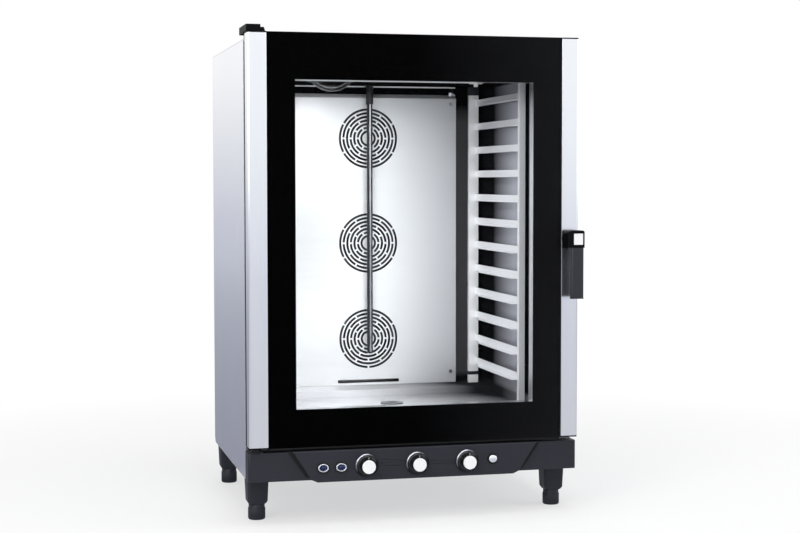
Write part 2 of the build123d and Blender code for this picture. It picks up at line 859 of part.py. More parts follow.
# Insulation: mineral wool slabs laid against the liner, with gaps for the vent and the drain
liner_out_x = cavity_half_width + sheet
liner_low_z = cavity_floor_z - sheet
liner_high_z = cavity_ceiling_z + sheet
wool_x = liner_out_x + insulation_thickness
pipe_flange_radius = drain_pipe_radius * 2


def slabs_round_gap(gap_x, gap_y, half_gap, low_z, high_z):
    """Four slabs that cover the liner's top or bottom round a square gap."""
    front_y = liner_front_y
    back_y = liner_back_y
    block((-liner_out_x, front_y, low_z), (gap_x - half_gap, back_y, high_z))
    block((gap_x + half_gap, front_y, low_z), (liner_out_x, back_y, high_z))
    near_x = gap_x - half_gap + weld_gap
    far_x = gap_x + half_gap - weld_gap
    block((near_x, front_y, low_z), (far_x, gap_y - half_gap, high_z))
    block((near_x, gap_y + half_gap, low_z), (far_x, back_y, high_z))


with BuildPart() as insulation_slabs:
    for low_x in (-wool_x, liner_out_x):
        block(
            (low_x, liner_front_y, liner_low_z),
            (low_x + insulation_thickness, liner_back_y + sheet, liner_high_z),
        )
    vent_gap = vent_radius + free_gap
    top_slab_z = liner_high_z + weld_gap
    slabs_round_gap(vent_x, vent_y, vent_gap, top_slab_z, liner_high_z + insulation_thickness)
    drain_gap = pipe_flange_radius + free_gap
    bottom_slab_z = liner_low_z - weld_gap
    slabs_round_gap(0, drain_y, drain_gap, liner_low_z - insulation_thickness, bottom_slab_z)
    block(
        (-liner_out_x, liner_back_y + sheet + weld_gap, liner_low_z),
        (liner_out_x, insulation_back_y, liner_high_z),
    )
    deep = insulation_thickness + 3 * sheet
    rod((oven_lamp_x, oven_lamp_y, liner_high_z), lamp_can_bore, deep, mode=Mode.SUBTRACT)
    rod((fan_x, lance_y, liner_high_z), lance_radius + free_gap, deep, mode=Mode.SUBTRACT)
    with BuildSketch(facing_front(liner_back_y + sheet)):
        with Locations(shaft_places):
            Circle(shaft_hole_radius)
        with Locations(all_tail_places):
            Circle(heater_tail_radius + free_gap)
    extrude(amount=-deep, mode=Mode.SUBTRACT)
insulation_slabs.part.label = "insulation_slabs"
export_step(insulation_slabs.part, "parts/insulation_slabs.step")

# Air baffle: the plate in front of the fans, with three slotted grilles and a low slot
baffle_bottom_z = ledge_z + seat_gap
grille_radii = [grille_inner_radius + i * grille_pitch for i in range(grille_ring_count)]
with BuildPart() as air_baffle:
    block(
        (fan_x - baffle_half_width, baffle_y, baffle_bottom_z),
        (fan_x + baffle_half_width, baffle_y + sheet, baffle_top_z),
    )
    with BuildSketch(facing_side(fan_x - baffle_half_width)):
        Polygon(
            (baffle_y, baffle_top_z),
            (baffle_y + sheet, baffle_top_z),
            (baffle_y + sheet + baffle_flange, baffle_top_z + baffle_flange),
            (baffle_y + baffle_flange, baffle_top_z + baffle_flange),
            align=None,
        )
    extrude(amount=2 * baffle_half_width)
    for x, z in standoff_places:
        drill_screw(x, baffle_y, z)
    for fan_z in fan_levels:
        for ring_index, radius in enumerate(grille_radii):
            outermost_first = grille_ring_count - 1 - ring_index
            bridges = 2 if ring_index == 0 else 6
            turn = 30 if outermost_first % 2 == 0 else 0
            with BuildSketch(facing_front(baffle_y)):
                with Locations((fan_x, fan_z)):
                    Circle(radius + grille_slot / 2)
                    Circle(radius - grille_slot / 2, mode=Mode.SUBTRACT)
                    with PolarLocations(radius, bridges, start_angle=90 if bridges == 2 else turn):
                        Rectangle(2 * grille_slot, grille_bridge, mode=Mode.SUBTRACT)
            extrude(amount=-sheet, mode=Mode.SUBTRACT)
    with BuildSketch(facing_front(baffle_y)):
        with Locations((fan_x, baffle_slot_z)):
            Rectangle(2 * baffle_slot_half, baffle_slot_height)
    extrude(amount=-sheet, mode=Mode.SUBTRACT)
air_baffle.part.label = "air_baffle"
export_step(air_baffle.part, "parts/air_baffle.step")


def tray_rack(side):
    """Two posts and twelve rails, their ledges nipped behind, for one side: -1 left, 1 right."""
    stud_bore = stud_radius + 2 * running_clearance
    rail_front_y = front_post_y + post_depth + weld_gap
    rail_back_y = rear_post_y - weld_gap
    posts = [
        (tray_clear_half, front_post_out_x, front_post_y, post_depth, cavity_floor_z, post_top_z),
        (rear_post_in_x, rear_post_out_x, rear_post_y, rear_post_depth, ledge_z, rear_post_top_z),
    ]
    with BuildPart() as rack:
        for inner_x, outer_x, y, depth, low_z, high_z in posts:
            near_x, far_x = sorted((side * inner_x, side * outer_x))
            block((near_x, y, low_z + seat_gap), (far_x, y + depth, high_z))
            for z in stud_levels:
                start_x = far_x - stud_bite if side > 0 else near_x - stud_bite
                rod((start_x, y + depth / 2, z), stud_bore, 2 * stud_bite, "X", Mode.SUBTRACT)
        for index in range(rail_count):
            bottom_z = lowest_rail_z + index * rail_pitch - rail_height / 2
            web_x = tray_clear_half + rail_inset
            near_x, far_x = sorted((side * web_x, side * (web_x + rail_sheet)))
            block((near_x, rail_front_y, bottom_z), (far_x, rail_back_y, bottom_z + rail_height))
            with BuildSketch(level(bottom_z)):
                Polygon(
                    (side * (web_x + rail_sheet), rail_front_y),
                    (side * (web_x - rail_ledge), rail_front_y),
                    (side * (web_x - rail_ledge), rail_back_y - ledge_nip_start),
                    (side * web_x, rail_back_y - ledge_nip_end),
                    (side * (web_x + rail_sheet), rail_back_y - ledge_nip_end),
                    align=None,
                )
            extrude(amount=rail_sheet)
    return rack.part


left_rack = tray_rack(-1)
left_rack.label = "left_rack"
export_step(left_rack, "parts/left_rack.step")

right_rack = tray_rack(1)
right_rack.label = "right_rack"
export_step(right_rack, "parts/right_rack.step")

# Steam lance: a thin tube in front of the baffle, closed below, with jets facing the fans
lance_top_z = cavity_ceiling_z + lance_rise
with BuildPart() as water_lance:
    rod((fan_x, lance_y, lance_bottom_z), lance_radius, lance_top_z - lance_bottom_z)
    bore_z = lance_bottom_z + lance_wall
    rod((fan_x, lance_y, bore_z), lance_radius - lance_wall, lance_top_z - bore_z, mode=Mode.SUBTRACT)
    for z in fan_levels:
        rod((fan_x, lance_y, z), lance_wall, lance_radius, "Y", Mode.SUBTRACT)
water_lance.part.label = "water_lance"
export_step(water_lance.part, "parts/water_lance.step")

# Lance sleeve: the dark collar that guides the lance under the ceiling
with BuildPart() as lance_sleeve:
    sleeve_z = cavity_ceiling_z - lance_sleeve_length
    rod((fan_x, lance_y, sleeve_z), lance_sleeve_radius, lance_sleeve_length)
    rod((fan_x, lance_y, sleeve_z), lance_bore, lance_sleeve_length, mode=Mode.SUBTRACT)
lance_sleeve.part.label = "lance_sleeve"
export_step(lance_sleeve.part, "parts/lance_sleeve.step")

# Lamp housing: a can let into the ceiling, with a ring that clamps the lens
can_top_z = cavity_ceiling_z + oven_lamp_can_height
lens_top_z = cavity_ceiling_z - oven_lamp_ring_thickness
with BuildPart() as lamp_housing:
    rod((oven_lamp_x, oven_lamp_y, lens_top_z), oven_lamp_ring, oven_lamp_ring_thickness)
    rod((oven_lamp_x, oven_lamp_y, lens_top_z), oven_lamp_can_radius, can_top_z - lens_top_z)
    can_depth = can_top_z - lens_top_z - lamp_can_wall
    can_bore = oven_lamp_can_radius - lamp_can_wall
    rod((oven_lamp_x, oven_lamp_y, lens_top_z), can_bore, can_depth, mode=Mode.SUBTRACT)
lamp_housing.part.label = "lamp_housing"
export_step(lamp_housing.part, "parts/lamp_housing.step")

# Lamp lens: a shallow hollow glass dome with a flat rim
lens_rim_z = lens_top_z - lens_wall
lens_reach = oven_lamp_radius - lens_rim_width
lens_low_z = cavity_ceiling_z - oven_lamp_drop
with BuildPart() as lamp_lens:
    with BuildSketch(Plane(origin=(oven_lamp_x, oven_lamp_y, 0), x_dir=(1, 0, 0), z_dir=(0, -1, 0))):
        with BuildLine():
            outside = TangentArc((0, lens_low_z), (lens_reach, lens_rim_z), tangent=(1, 0))
            inner_edge = (lens_reach - lens_wall, lens_rim_z)
            inside = TangentArc((0, lens_low_z + lens_wall), inner_edge, tangent=(1, 0))
            Polyline(
                outside @ 1,
                (oven_lamp_radius, lens_rim_z),
                (oven_lamp_radius, lens_top_z),
                (lens_reach - lens_wall, lens_top_z),
                inside @ 1,
            )
            Line(outside @ 0, inside @ 0)
        make_face()
    revolve(axis=Axis((oven_lamp_x, oven_lamp_y, 0), (0, 0, 1)))
lamp_lens.part.label = "lamp_lens"
export_step(lamp_lens.part, "parts/lamp_lens.step")

# Lamp bulb: a halogen capsule that hangs from the top of the can
with BuildPart() as lamp_bulb:
    bulb_top_z = can_top_z - lamp_can_wall
    rod((oven_lamp_x, oven_lamp_y, bulb_top_z - bulb_length), bulb_radius, bulb_length)
    fillet(lamp_bulb.faces().sort_by(Axis.Z)[0].edges(), radius=bulb_round)
lamp_bulb.part.label = "lamp_bulb"
export_step(lamp_bulb.part, "parts/lamp_bulb.step")

# Drain strainer: a perforated disc with a short spigot that drops into the drain pipe
drain_bore = drain_pipe_radius - drain_pipe_wall
with BuildPart() as drain_strainer:
    rod((0, drain_y, cavity_floor_z), drain_plate_radius, drain_plate_thickness)
    fillet(drain_strainer.faces().sort_by(Axis.Z)[-1].edges(), radius=drain_edge_round)
    spigot = drain_bore - seat_gap
    rod((0, drain_y, cavity_floor_z - drain_spigot_depth), spigot, drain_spigot_depth)
    rod((0, drain_y, cavity_floor_z - drain_spigot_depth), spigot - sheet, drain_spigot_depth, mode=Mode.SUBTRACT)
    with BuildSketch(level(cavity_floor_z)):
        with Locations((0, drain_y)):
            Circle(drain_hole_radius)
            with PolarLocations(spigot / 3, 6):
                Circle(drain_hole_radius)
            with PolarLocations(spigot * 2 / 3, 12):
                Circle(drain_hole_radius)
    extrude(amount=drain_plate_thickness, mode=Mode.SUBTRACT)
drain_strainer.part.label = "drain_strainer"
export_step(drain_strainer.part, "parts/drain_strainer.step")

# Drain pipe: a flanged tube from the cavity floor to a hose spigot below the base tray
with BuildPart() as drain_pipe:
    spigot_top_z = base_bottom_z - sheet
    spigot_bottom_z = spigot_top_z - drain_spigot_length
    rod((0, drain_y, spigot_top_z), drain_pipe_radius, cavity_floor_z - spigot_top_z)
    rod((0, drain_y, spigot_bottom_z), drain_spigot_radius, drain_spigot_length)
    rod((0, drain_y, liner_low_z - sheet), pipe_flange_radius, sheet)
    pipe_length = cavity_floor_z - spigot_bottom_z
    rod((0, drain_y, spigot_bottom_z), drain_bore - sheet, pipe_length, mode=Mode.SUBTRACT)
    rod((0, drain_y, spigot_top_z + 2 * sheet), drain_bore, pipe_length, mode=Mode.SUBTRACT)
drain_pipe.part.label = "drain_pipe"
export_step(drain_pipe.part, "parts/drain_pipe.step")

# Fan motors: three round motors on square flanges, bolted to the rear panel
shaft_bore = fan_shaft_radius + running_clearance
shaft_in_motor = motor_length * 0.8
with BuildPart() as fan_motors:
    for x, z in shaft_places:
        block(
            (x - motor_flange / 2, panel_back_y, z - motor_flange / 2),
            (x + motor_flange / 2, panel_back_y + motor_flange_thickness, z + motor_flange / 2),
        )
        rod((x, panel_back_y, z), motor_radius, motor_length, "Y")
        rod((x, panel_back_y, z), shaft_bore, shaft_in_motor + free_gap, "Y", Mode.SUBTRACT)
fan_motors.part.label = "fan_motors"
export_step(fan_motors.part, "parts/fan_motors.step")


def fan_wheel(z):
    """A radial wheel with slanted blades between a disc and a ring, on its motor shaft."""
    disc_y = fan_back_y - fan_disc
    shaft_y = fan_back_y - hub_length
    with BuildPart() as wheel:
        rod((fan_x, disc_y, z), fan_radius, fan_disc, "Y")
        rod((fan_x, shaft_y, z), hub_radius, hub_length, "Y")
        rod((fan_x, shaft_y, z), fan_shaft_radius, panel_back_y + shaft_in_motor - shaft_y, "Y")
        with BuildSketch(facing_front(disc_y)):
            with Locations((fan_x, z)):
                with PolarLocations(blade_centre_radius, fan_blades):
                    Rectangle(blade_length, sheet, rotation=blade_slant)
        extrude(amount=fan_depth)
        rod((fan_x, disc_y - fan_depth, z), fan_radius, fan_disc, "Y")
        rod((fan_x, disc_y - fan_depth, z), shroud_radius, fan_disc, "Y", Mode.SUBTRACT)
    return wheel.part


fan_names = ["fan_wheel_bottom", "fan_wheel_middle", "fan_wheel_top"]
for fan_name, fan_z in zip(fan_names, fan_levels):
    wheel = fan_wheel(fan_z)
    wheel.label = fan_name
    export_step(wheel, f"parts/{fan_name}.step")

# Ring heaters: two turns of tube round each fan, with two tails through the back wall
first_angle = math.radians(heater_tail_angles[1])
heater_front_y = fan_back_y - fan_disc - fan_depth / 2 - heater_ring_pitch / 2
with BuildPart() as ring_heaters:
    for fan_z in fan_levels:
        for ring_y in (heater_front_y, heater_front_y + heater_ring_pitch):
            ring_plane = Plane(
                origin=(fan_x, ring_y, fan_z),
                x_dir=(math.cos(first_angle), 0, math.sin(first_angle)),
                z_dir=(-math.sin(first_angle), 0, math.cos(first_angle)),
            )
            with BuildSketch(ring_plane):
                with Locations((heater_radius, 0)):
                    Circle(heater_tube_radius)
            turn_axis = Axis((fan_x, ring_y, fan_z), (0, -1, 0))
            revolve(axis=turn_axis, revolution_arc=360 - heater_gap_degrees)
        for x, z in tail_places(fan_z):
            tail_start = heater_front_y - 1.2 * heater_tail_radius
            rod((x, tail_start, z), heater_tail_radius, insulation_back_y - tail_start, "Y")
ring_heaters.part.label = "ring_heaters"
export_step(ring_heaters.part, "parts/ring_heaters.step")

# Vent pipe: the open chimney from the ceiling through the top panel
with BuildPart() as vent_pipe:
    vent_bottom_z = cavity_ceiling_z - sheet
    vent_length = vent_top_z - vent_bottom_z
    rod((vent_x, vent_y, vent_bottom_z), vent_radius, vent_length)
    rod((vent_x, vent_y, cabinet_top_z), vent_flange_radius, 2 * sheet)
    rod((vent_x, vent_y, vent_bottom_z), vent_radius - vent_wall, vent_length, mode=Mode.SUBTRACT)
vent_pipe.part.label = "vent_pipe"
export_step(vent_pipe.part, "parts/vent_pipe.step")

# Motor cover: a louvred box over the three motors, screwed to the rear panel by its flange
cover_back_y = panel_back_y + rear_cover_depth
with BuildPart() as motor_cover:
    block(
        (fan_x - rear_cover_half_width - cover_flange, panel_back_y, cover_bottom_z - cover_flange),
        (fan_x + rear_cover_half_width + cover_flange, panel_back_y + sheet, cover_top_z + cover_flange),
    )
    block(
        (fan_x - rear_cover_half_width, panel_back_y, cover_bottom_z),
        (fan_x + rear_cover_half_width, cover_back_y, cover_top_z),
    )
    block(
        (fan_x - rear_cover_half_width + sheet, panel_back_y, cover_bottom_z + sheet),
        (fan_x + rear_cover_half_width - sheet, cover_back_y - sheet, cover_top_z - sheet),
        Mode.SUBTRACT,
    )
    for x, z in cover_screw_places:
        drill_screw(x, panel_back_y, z)
    for fan_z in fan_levels:
        with BuildSketch(facing_front(cover_back_y)):
            with Locations((fan_x, fan_z)):
                with GridLocations(0, louvre_pitch, 1, louvres):
                    SlotOverall(louvre_length, louvre_height)
        extrude(amount=2 * sheet, mode=Mode.SUBTRACT)
        with BuildSketch(facing_side(fan_x - rear_cover_half_width - sheet)):
            with Locations(((panel_back_y + cover_back_y) / 2, fan_z)):
                with GridLocations(0, louvre_pitch, 1, louvres):
                    SlotOverall(side_louvre_length, louvre_height)
        extrude(amount=2 * (rear_cover_half_width + sheet), mode=Mode.SUBTRACT)
motor_cover.part.label = "motor_cover"
export_step(motor_cover.part, "parts/motor_cover.step")

# Water valve: the inlet block on the rear panel, with an external pipe thread
with BuildPart() as water_valve:
    half_side = water_body_side / 2
    block(
        (service_x - half_side, panel_back_y, water_valve_z - half_side),
        (service_x + half_side, panel_back_y + water_body_side, water_valve_z + half_side),
    )
    fillet(water_valve.edges().filter_by(Axis.Y), radius=water_body_round)
    thread_y = panel_back_y + water_body_side
    rod((service_x, thread_y, water_valve_z), water_thread_radius, water_thread_length, "Y")
    spigot_y = rear_panel_y - 2 * sheet
    rod((service_x, spigot_y, water_valve_z), water_spigot_radius, 3 * sheet, "Y")
    inlet_y = thread_y - water_thread_length
    rod((service_x, inlet_y, water_valve_z), water_bore_radius, 2 * water_thread_length, "Y", Mode.SUBTRACT)
water_valve.part.label = "water_valve"
export_step(water_valve.part, "parts/water_valve.step")

# Cable gland: a six-sided gland with a dome nut, bored right through for the supply cable
with BuildPart() as cable_gland:
    with BuildSketch(facing_front(panel_back_y)):
        with Locations((service_x, gland_z)):
            RegularPolygon(gland_radius, 6, major_radius=False)
    extrude(amount=-gland_hex_length)
    rod((service_x, panel_back_y, gland_z), gland_nut_radius, gland_length, "Y")
    fillet(cable_gland.faces().sort_by(Axis.Y)[-1].edges(), radius=gland_round)
    bore_y = panel_back_y - gland_thread_reach
    rod((service_x, bore_y, gland_z), gland_thread_radius, gland_thread_reach, "Y")
    bore_length = gland_thread_reach + gland_length
    rod((service_x, bore_y, gland_z), gland_bore_radius, bore_length, "Y", Mode.SUBTRACT)
cable_gland.part.label = "cable_gland"
export_step(cable_gland.part, "parts/cable_gland.step")


def rear_screw(x, y, z):
    """A round-headed screw whose head rests on the plane at depth y and points backwards."""
    rod((x, y, z), screw_head_radius, screw_head_height, "Y")
    rod((x, y - screw_shank_length, z), screw_shank_radius, screw_shank_length, "Y")


# Panel screws: the same screw holds the rear panel, the motor cover and the air baffle
with BuildPart() as panel_screws:
    for x in edge_screw_places:
        rear_screw(x, panel_back_y, upper_screw_z)
        rear_screw(x, panel_back_y, lower_screw_z)
    for x, z in cover_screw_places:
        rear_screw(x, panel_back_y + sheet, z)
    for x, z in standoff_places:
        sheet_screw(x, baffle_y, z)
panel_screws.part.label = "panel_screws"
export_step(panel_screws.part, "parts/panel_screws.step")

# Hinge brackets: a plate with a pin below the door and a foot, plate and pin above it
hinge_left_x = -side_x + hinge_side_gap
hinge_right_x = hinge_left_x + hinge_arm_width
lower_plate_z = base_top_z + hinge_plate
lower_boss_z = door_bottom_z - free_gap
upper_plate_z = door_top_z + hinge_top_gap
hinge_back_y = liner_front_y + hinge_foot_depth
with BuildPart() as hinge_brackets:
    block((hinge_left_x, base_front_y, base_top_z), (hinge_right_x, frame_face_y, lower_plate_z))
    rod((pivot_x, pivot_y, base_top_z), hinge_boss_radius, lower_boss_z - base_top_z)
    rod((pivot_x, pivot_y, lower_boss_z), hinge_pin_radius, hinge_pin_length)
    block(
        (hinge_left_x, pivot_y - hinge_boss_radius, upper_plate_z),
        (hinge_right_x, hinge_back_y, upper_plate_z + hinge_plate),
    )
    block((hinge_left_x, liner_front_y, cabinet_top_z), (hinge_right_x, hinge_back_y, upper_plate_z))
    upper_pin_z = upper_plate_z - hinge_pin_length
    rod((pivot_x, pivot_y, upper_pin_z), hinge_pin_radius, hinge_pin_length)
hinge_brackets.part.label = "hinge_brackets"
export_step(hinge_brackets.part, "parts/hinge_brackets.step")

# Hinge cap: a stepped cover over the upper hinge bracket, open below
cap_left_x = -side_x
cap_step_x = cap_left_x + cap_tall_width
cap_right_x = cap_left_x + cap_width
cap_front_y = door_face_y + cap_front_setback
cap_sweep_y = door_face_y + cap_sweep_clear
cap_back_y = cap_front_y + cap_depth
cap_bottom_z = cabinet_top_z + cap_lift
cap_seat_z = upper_plate_z + hinge_plate + seat_gap
with BuildPart() as hinge_cap:
    with BuildSketch(facing_front(cap_front_y)):
        Polygon(
            (cap_left_x, upper_plate_z),
            (cap_right_x, upper_plate_z),
            (cap_right_x - cap_slant, cap_low_top_z),
            (cap_step_x, cap_low_top_z),
            (cap_step_x, cap_top_z),
            (cap_left_x, cap_top_z),
            align=None,
        )
    extrude(amount=-cap_depth)
    block((cap_left_x, cap_sweep_y, cap_bottom_z), (cap_right_x, cap_back_y, upper_plate_z))
    fillet(hinge_cap.edges().filter_by(Axis.Z).group_by(Axis.Y)[0], radius=cap_wall)
    block(
        (cap_left_x + cap_wall, cap_front_y + cap_wall, upper_plate_z),
        (cap_right_x - cap_wall - cap_slant, cap_back_y - cap_wall, cap_seat_z),
        Mode.SUBTRACT,
    )
    block(
        (cap_left_x + cap_wall, cap_front_y + cap_wall, upper_plate_z),
        (cap_step_x - cap_wall, cap_back_y - cap_wall, cap_top_z - cap_wall),
        Mode.SUBTRACT,
    )
    block(
        (cap_left_x + cap_wall, cap_sweep_y + cap_wall, cap_bottom_z),
        (cap_right_x - cap_wall, cap_back_y - cap_wall, upper_plate_z),
        Mode.SUBTRACT,
    )
hinge_cap.part.label = "hinge_cap"
export_step(hinge_cap.part, "parts/hinge_cap.step")


def door_profile(left_x, right_x, outer_x):
    """A hollow upright of the door, rounded along its two outer edges."""
    with BuildPart() as profile:
        low_z = door_bottom_z + profile_cap
        high_z = door_top_z - profile_cap
        block((left_x, door_face_y, low_z), (right_x, door_back_y, high_z))
        outer_group = 0 if outer_x == left_x else -1
        outer_edges = profile.edges().filter_by(Axis.Z).group_by(Axis.X)[outer_group]
        fillet(outer_edges, radius=profile_round)
        block(
            (left_x + profile_wall, door_face_y + profile_wall, low_z),
            (right_x - profile_wall, door_back_y - profile_wall, high_z),
            Mode.SUBTRACT,
        )
        if outer_x == right_x:
            bore = latch_shaft_radius + running_clearance
            rod((handle_x, door_face_y, handle_z), bore, door_thickness, "Y", Mode.SUBTRACT)
    return profile.part


left_profile = door_profile(door_left_x, glass_left_x, door_left_x)
left_profile.label = "door_left_profile"
export_step(left_profile, "parts/door_left_profile.step")

right_profile = door_profile(glass_right_x, door_right_x, door_right_x)
right_profile.label = "door_right_profile"
export_step(right_profile, "parts/door_right_profile.step")

# Profile end caps: four plugs, of which the two on the left are bored for the hinge pins
plug_fit = 0.1
with BuildPart() as profile_end_caps:
    profile_spans = [(door_left_x, glass_left_x, 0), (glass_right_x, door_right_x, -1)]
    for left_x, right_x, outer_group in profile_spans:
        for low_z in (door_bottom_z, door_top_z - profile_cap):
            upward = 1 if low_z == door_bottom_z else -1
            with BuildSketch(level(low_z)):
                with Locations(((left_x + right_x) / 2, (door_face_y + door_back_y) / 2)):
                    Rectangle(right_x - left_x, door_thickness)
                fillet(vertices().group_by(Axis.X)[outer_group], radius=profile_round)
            extrude(amount=profile_cap)
            plug_z = low_z + profile_cap if upward > 0 else low_z - cap_plug_depth
            inset = profile_wall + plug_fit
            block(
                (left_x + inset, door_face_y + inset, plug_z),
                (right_x - inset, door_back_y - inset, plug_z + cap_plug_depth),
            )
    pin_bore = hinge_pin_radius + running_clearance
    for low_z in (door_bottom_z, door_top_z - profile_cap - cap_plug_depth):
        bore_length = profile_cap + cap_plug_depth
        rod((pivot_x, pivot_y, low_z), pin_bore, bore_length, mode=Mode.SUBTRACT)
profile_end_caps.part.label = "profile_end_caps"
export_step(profile_end_caps.part, "parts/profile_end_caps.step")

# Outer glass: the flat front pane between the two profiles
glass_front_y = door_face_y + outer_glass_inset
glass_back_y = glass_front_y + outer_glass_thickness
pane_left_x = glass_left_x + seat_gap
pane_right_x = glass_right_x - seat_gap
with BuildPart() as outer_glass:
    block((pane_left_x, glass_front_y, door_bottom_z), (pane_right_x, glass_back_y, door_top_z))
    chamfer(outer_glass.faces().sort_by(Axis.Y)[0].edges(), length=glass_bevel)
outer_glass.part.label = "outer_glass"
export_step(outer_glass.part, "parts/outer_glass.step")

# Glass border: the fired enamel band behind the outer glass, round the clear window
enamel_back_y = glass_back_y + enamel_thickness
with BuildPart() as glass_border:
    block((pane_left_x, glass_back_y, door_bottom_z), (pane_right_x, enamel_back_y, door_top_z))
    block(
        (-window_half_width, glass_back_y, window_bottom_z),
        (window_half_width, enamel_back_y, window_top_z),
        Mode.SUBTRACT,
    )
glass_border.part.label = "glass_border"
export_step(glass_border.part, "parts/glass_border.step")

# Inner frame: a folded ring behind the enamel, open to the front, with a rebate for the inner glass
rebate_y = door_back_y - glass_to_door_back - inner_glass_thickness - seat_gap
rebate_lap = inner_glass_lap + seat_gap
with BuildPart() as inner_frame:
    block((pane_left_x, enamel_back_y, door_bottom_z), (pane_right_x, door_back_y, door_top_z))
    block(
        (-window_half_width, enamel_back_y, window_bottom_z),
        (window_half_width, door_back_y, window_top_z),
        Mode.SUBTRACT,
    )
    block(
        (-window_half_width - rebate_lap, rebate_y, window_bottom_z - rebate_lap),
        (window_half_width + rebate_lap, door_back_y, window_top_z + rebate_lap),
        Mode.SUBTRACT,
    )
    for lap, front_y, back_y in (
        (frame_wall, enamel_back_y, rebate_y - frame_wall),
        (rebate_lap + frame_wall, rebate_y - frame_wall, door_back_y - frame_wall),
    ):
        near_x = window_half_width + lap
        low_z = window_bottom_z - lap
        high_z = window_top_z + lap
        outer_low_z = door_bottom_z + frame_wall
        outer_high_z = door_top_z - frame_wall
        left_x = pane_left_x + frame_wall
        right_x = pane_right_x - frame_wall
        block((left_x, front_y, outer_low_z), (-near_x, back_y, outer_high_z), Mode.SUBTRACT)
        block((near_x, front_y, outer_low_z), (right_x, back_y, outer_high_z), Mode.SUBTRACT)
        block((left_x, front_y, outer_low_z), (right_x, back_y, low_z), Mode.SUBTRACT)
        block((left_x, front_y, high_z), (right_x, back_y, outer_high_z), Mode.SUBTRACT)
inner_frame.part.label = "inner_frame"
export_step(inner_frame.part, "parts/inner_frame.step")

# Inner glass: the heat-resisting pane in the rebate of the inner frame
inner_glass_y = door_back_y - glass_to_door_back - inner_glass_thickness
with BuildPart() as inner_glass:
    block(
        (-window_half_width - inner_glass_lap, inner_glass_y, window_bottom_z - inner_glass_lap),
        (
            window_half_width + inner_glass_lap,
            inner_glass_y + inner_glass_thickness,
            window_top_z + inner_glass_lap,
        ),
    )
inner_glass.part.label = "inner_glass"
export_step(inner_glass.part, "parts/inner_glass.step")

# Handle head: the block that turns on the door, with a boss behind and a pocket in front
head_left_x = handle_x - handle_head_left
head_low_z = handle_z - handle_head_height / 2
head_high_z = handle_z + handle_head_height / 2
handle_front_y = door_face_y - handle_reach
head_back_y = handle_front_y + handle_head_depth
inset_x = handle_x + inset_offset
inset_back_y = handle_front_y + inset_thickness
with BuildPart() as handle_head:
    block((head_left_x, handle_front_y, head_low_z), (door_right_x, head_back_y, head_high_z))
    upper_left_edge = handle_head.edges().filter_by(Axis.Y).group_by(Axis.Z)[-1].sort_by(Axis.X)[0]
    fillet(upper_left_edge, radius=head_round)
    upper_right_edge = handle_head.edges().filter_by(Axis.Y).group_by(Axis.Z)[-1].sort_by(Axis.X)[-1]
    fillet(upper_right_edge, radius=grip_round)
    fillet(handle_head.faces().sort_by(Axis.Y)[0].edges(), radius=grip_edge_round)
    boss_length = door_face_y - seat_gap - head_back_y
    rod((handle_x, head_back_y, handle_z), handle_boss_radius, boss_length, "Y")
    block(
        (inset_x - inset_width / 2, handle_front_y, handle_z - inset_height / 2),
        (inset_x + inset_width / 2, inset_back_y, handle_z + inset_height / 2),
        Mode.SUBTRACT,
    )
    socket_y = handle_front_y + handle_head_depth / 2
    socket_length = door_face_y - socket_y
    rod((handle_x, socket_y, handle_z), latch_shaft_radius, socket_length, "Y", Mode.SUBTRACT)
handle_head.part.label = "handle_head"
export_step(handle_head.part, "parts/handle_head.step")

# Handle inset: the pale plate in the front of the handle head
with BuildPart() as handle_inset:
    with BuildSketch(facing_front(inset_back_y)):
        with Locations((inset_x, handle_z)):
            Rectangle(inset_width - 2 * plug_fit, inset_height - 2 * plug_fit)
    extrude(amount=inset_thickness)
    chamfer(handle_inset.faces().sort_by(Axis.Y)[0].edges(), length=inset_bevel)
handle_inset.part.label = "handle_inset"
export_step(handle_inset.part, "parts/handle_inset.step")

# Handle grip: the flat bar that hangs from the head
grip_left_x = door_right_x - grip_setback - grip_width
with BuildPart() as handle_grip:
    block(
        (grip_left_x, handle_front_y, head_low_z - grip_length),
        (grip_left_x + grip_width, handle_front_y + grip_thickness, head_low_z),
    )
    fillet(handle_grip.edges().filter_by(Axis.Z), radius=grip_round)
    fillet(handle_grip.faces().sort_by(Axis.Z)[0].edges(), radius=grip_edge_round)
handle_grip.part.label = "handle_grip"
export_step(handle_grip.part, "parts/handle_grip.step")

# Latch shaft: a round spindle through the right profile, with a nose behind the front frame
nose_y = frame_face_y + latch_reach
with BuildPart() as latch_shaft:
    rod((handle_x, socket_y, handle_z), latch_shaft_radius, nose_y + latch_thickness - socket_y, "Y")
    with BuildSketch(facing_front(nose_y)):
        with Locations((handle_x, handle_z)):
            Circle(latch_arm_width / 2)
        with Locations((handle_x - latch_arm / 2, handle_z)):
            Rectangle(latch_arm, latch_arm_width)
        fillet(vertices().group_by(Axis.X)[0], radius=latch_nose_round)
    extrude(amount=-latch_thickness)
latch_shaft.part.label = "latch_shaft"
export_step(latch_shaft.part, "parts/latch_shaft.step")

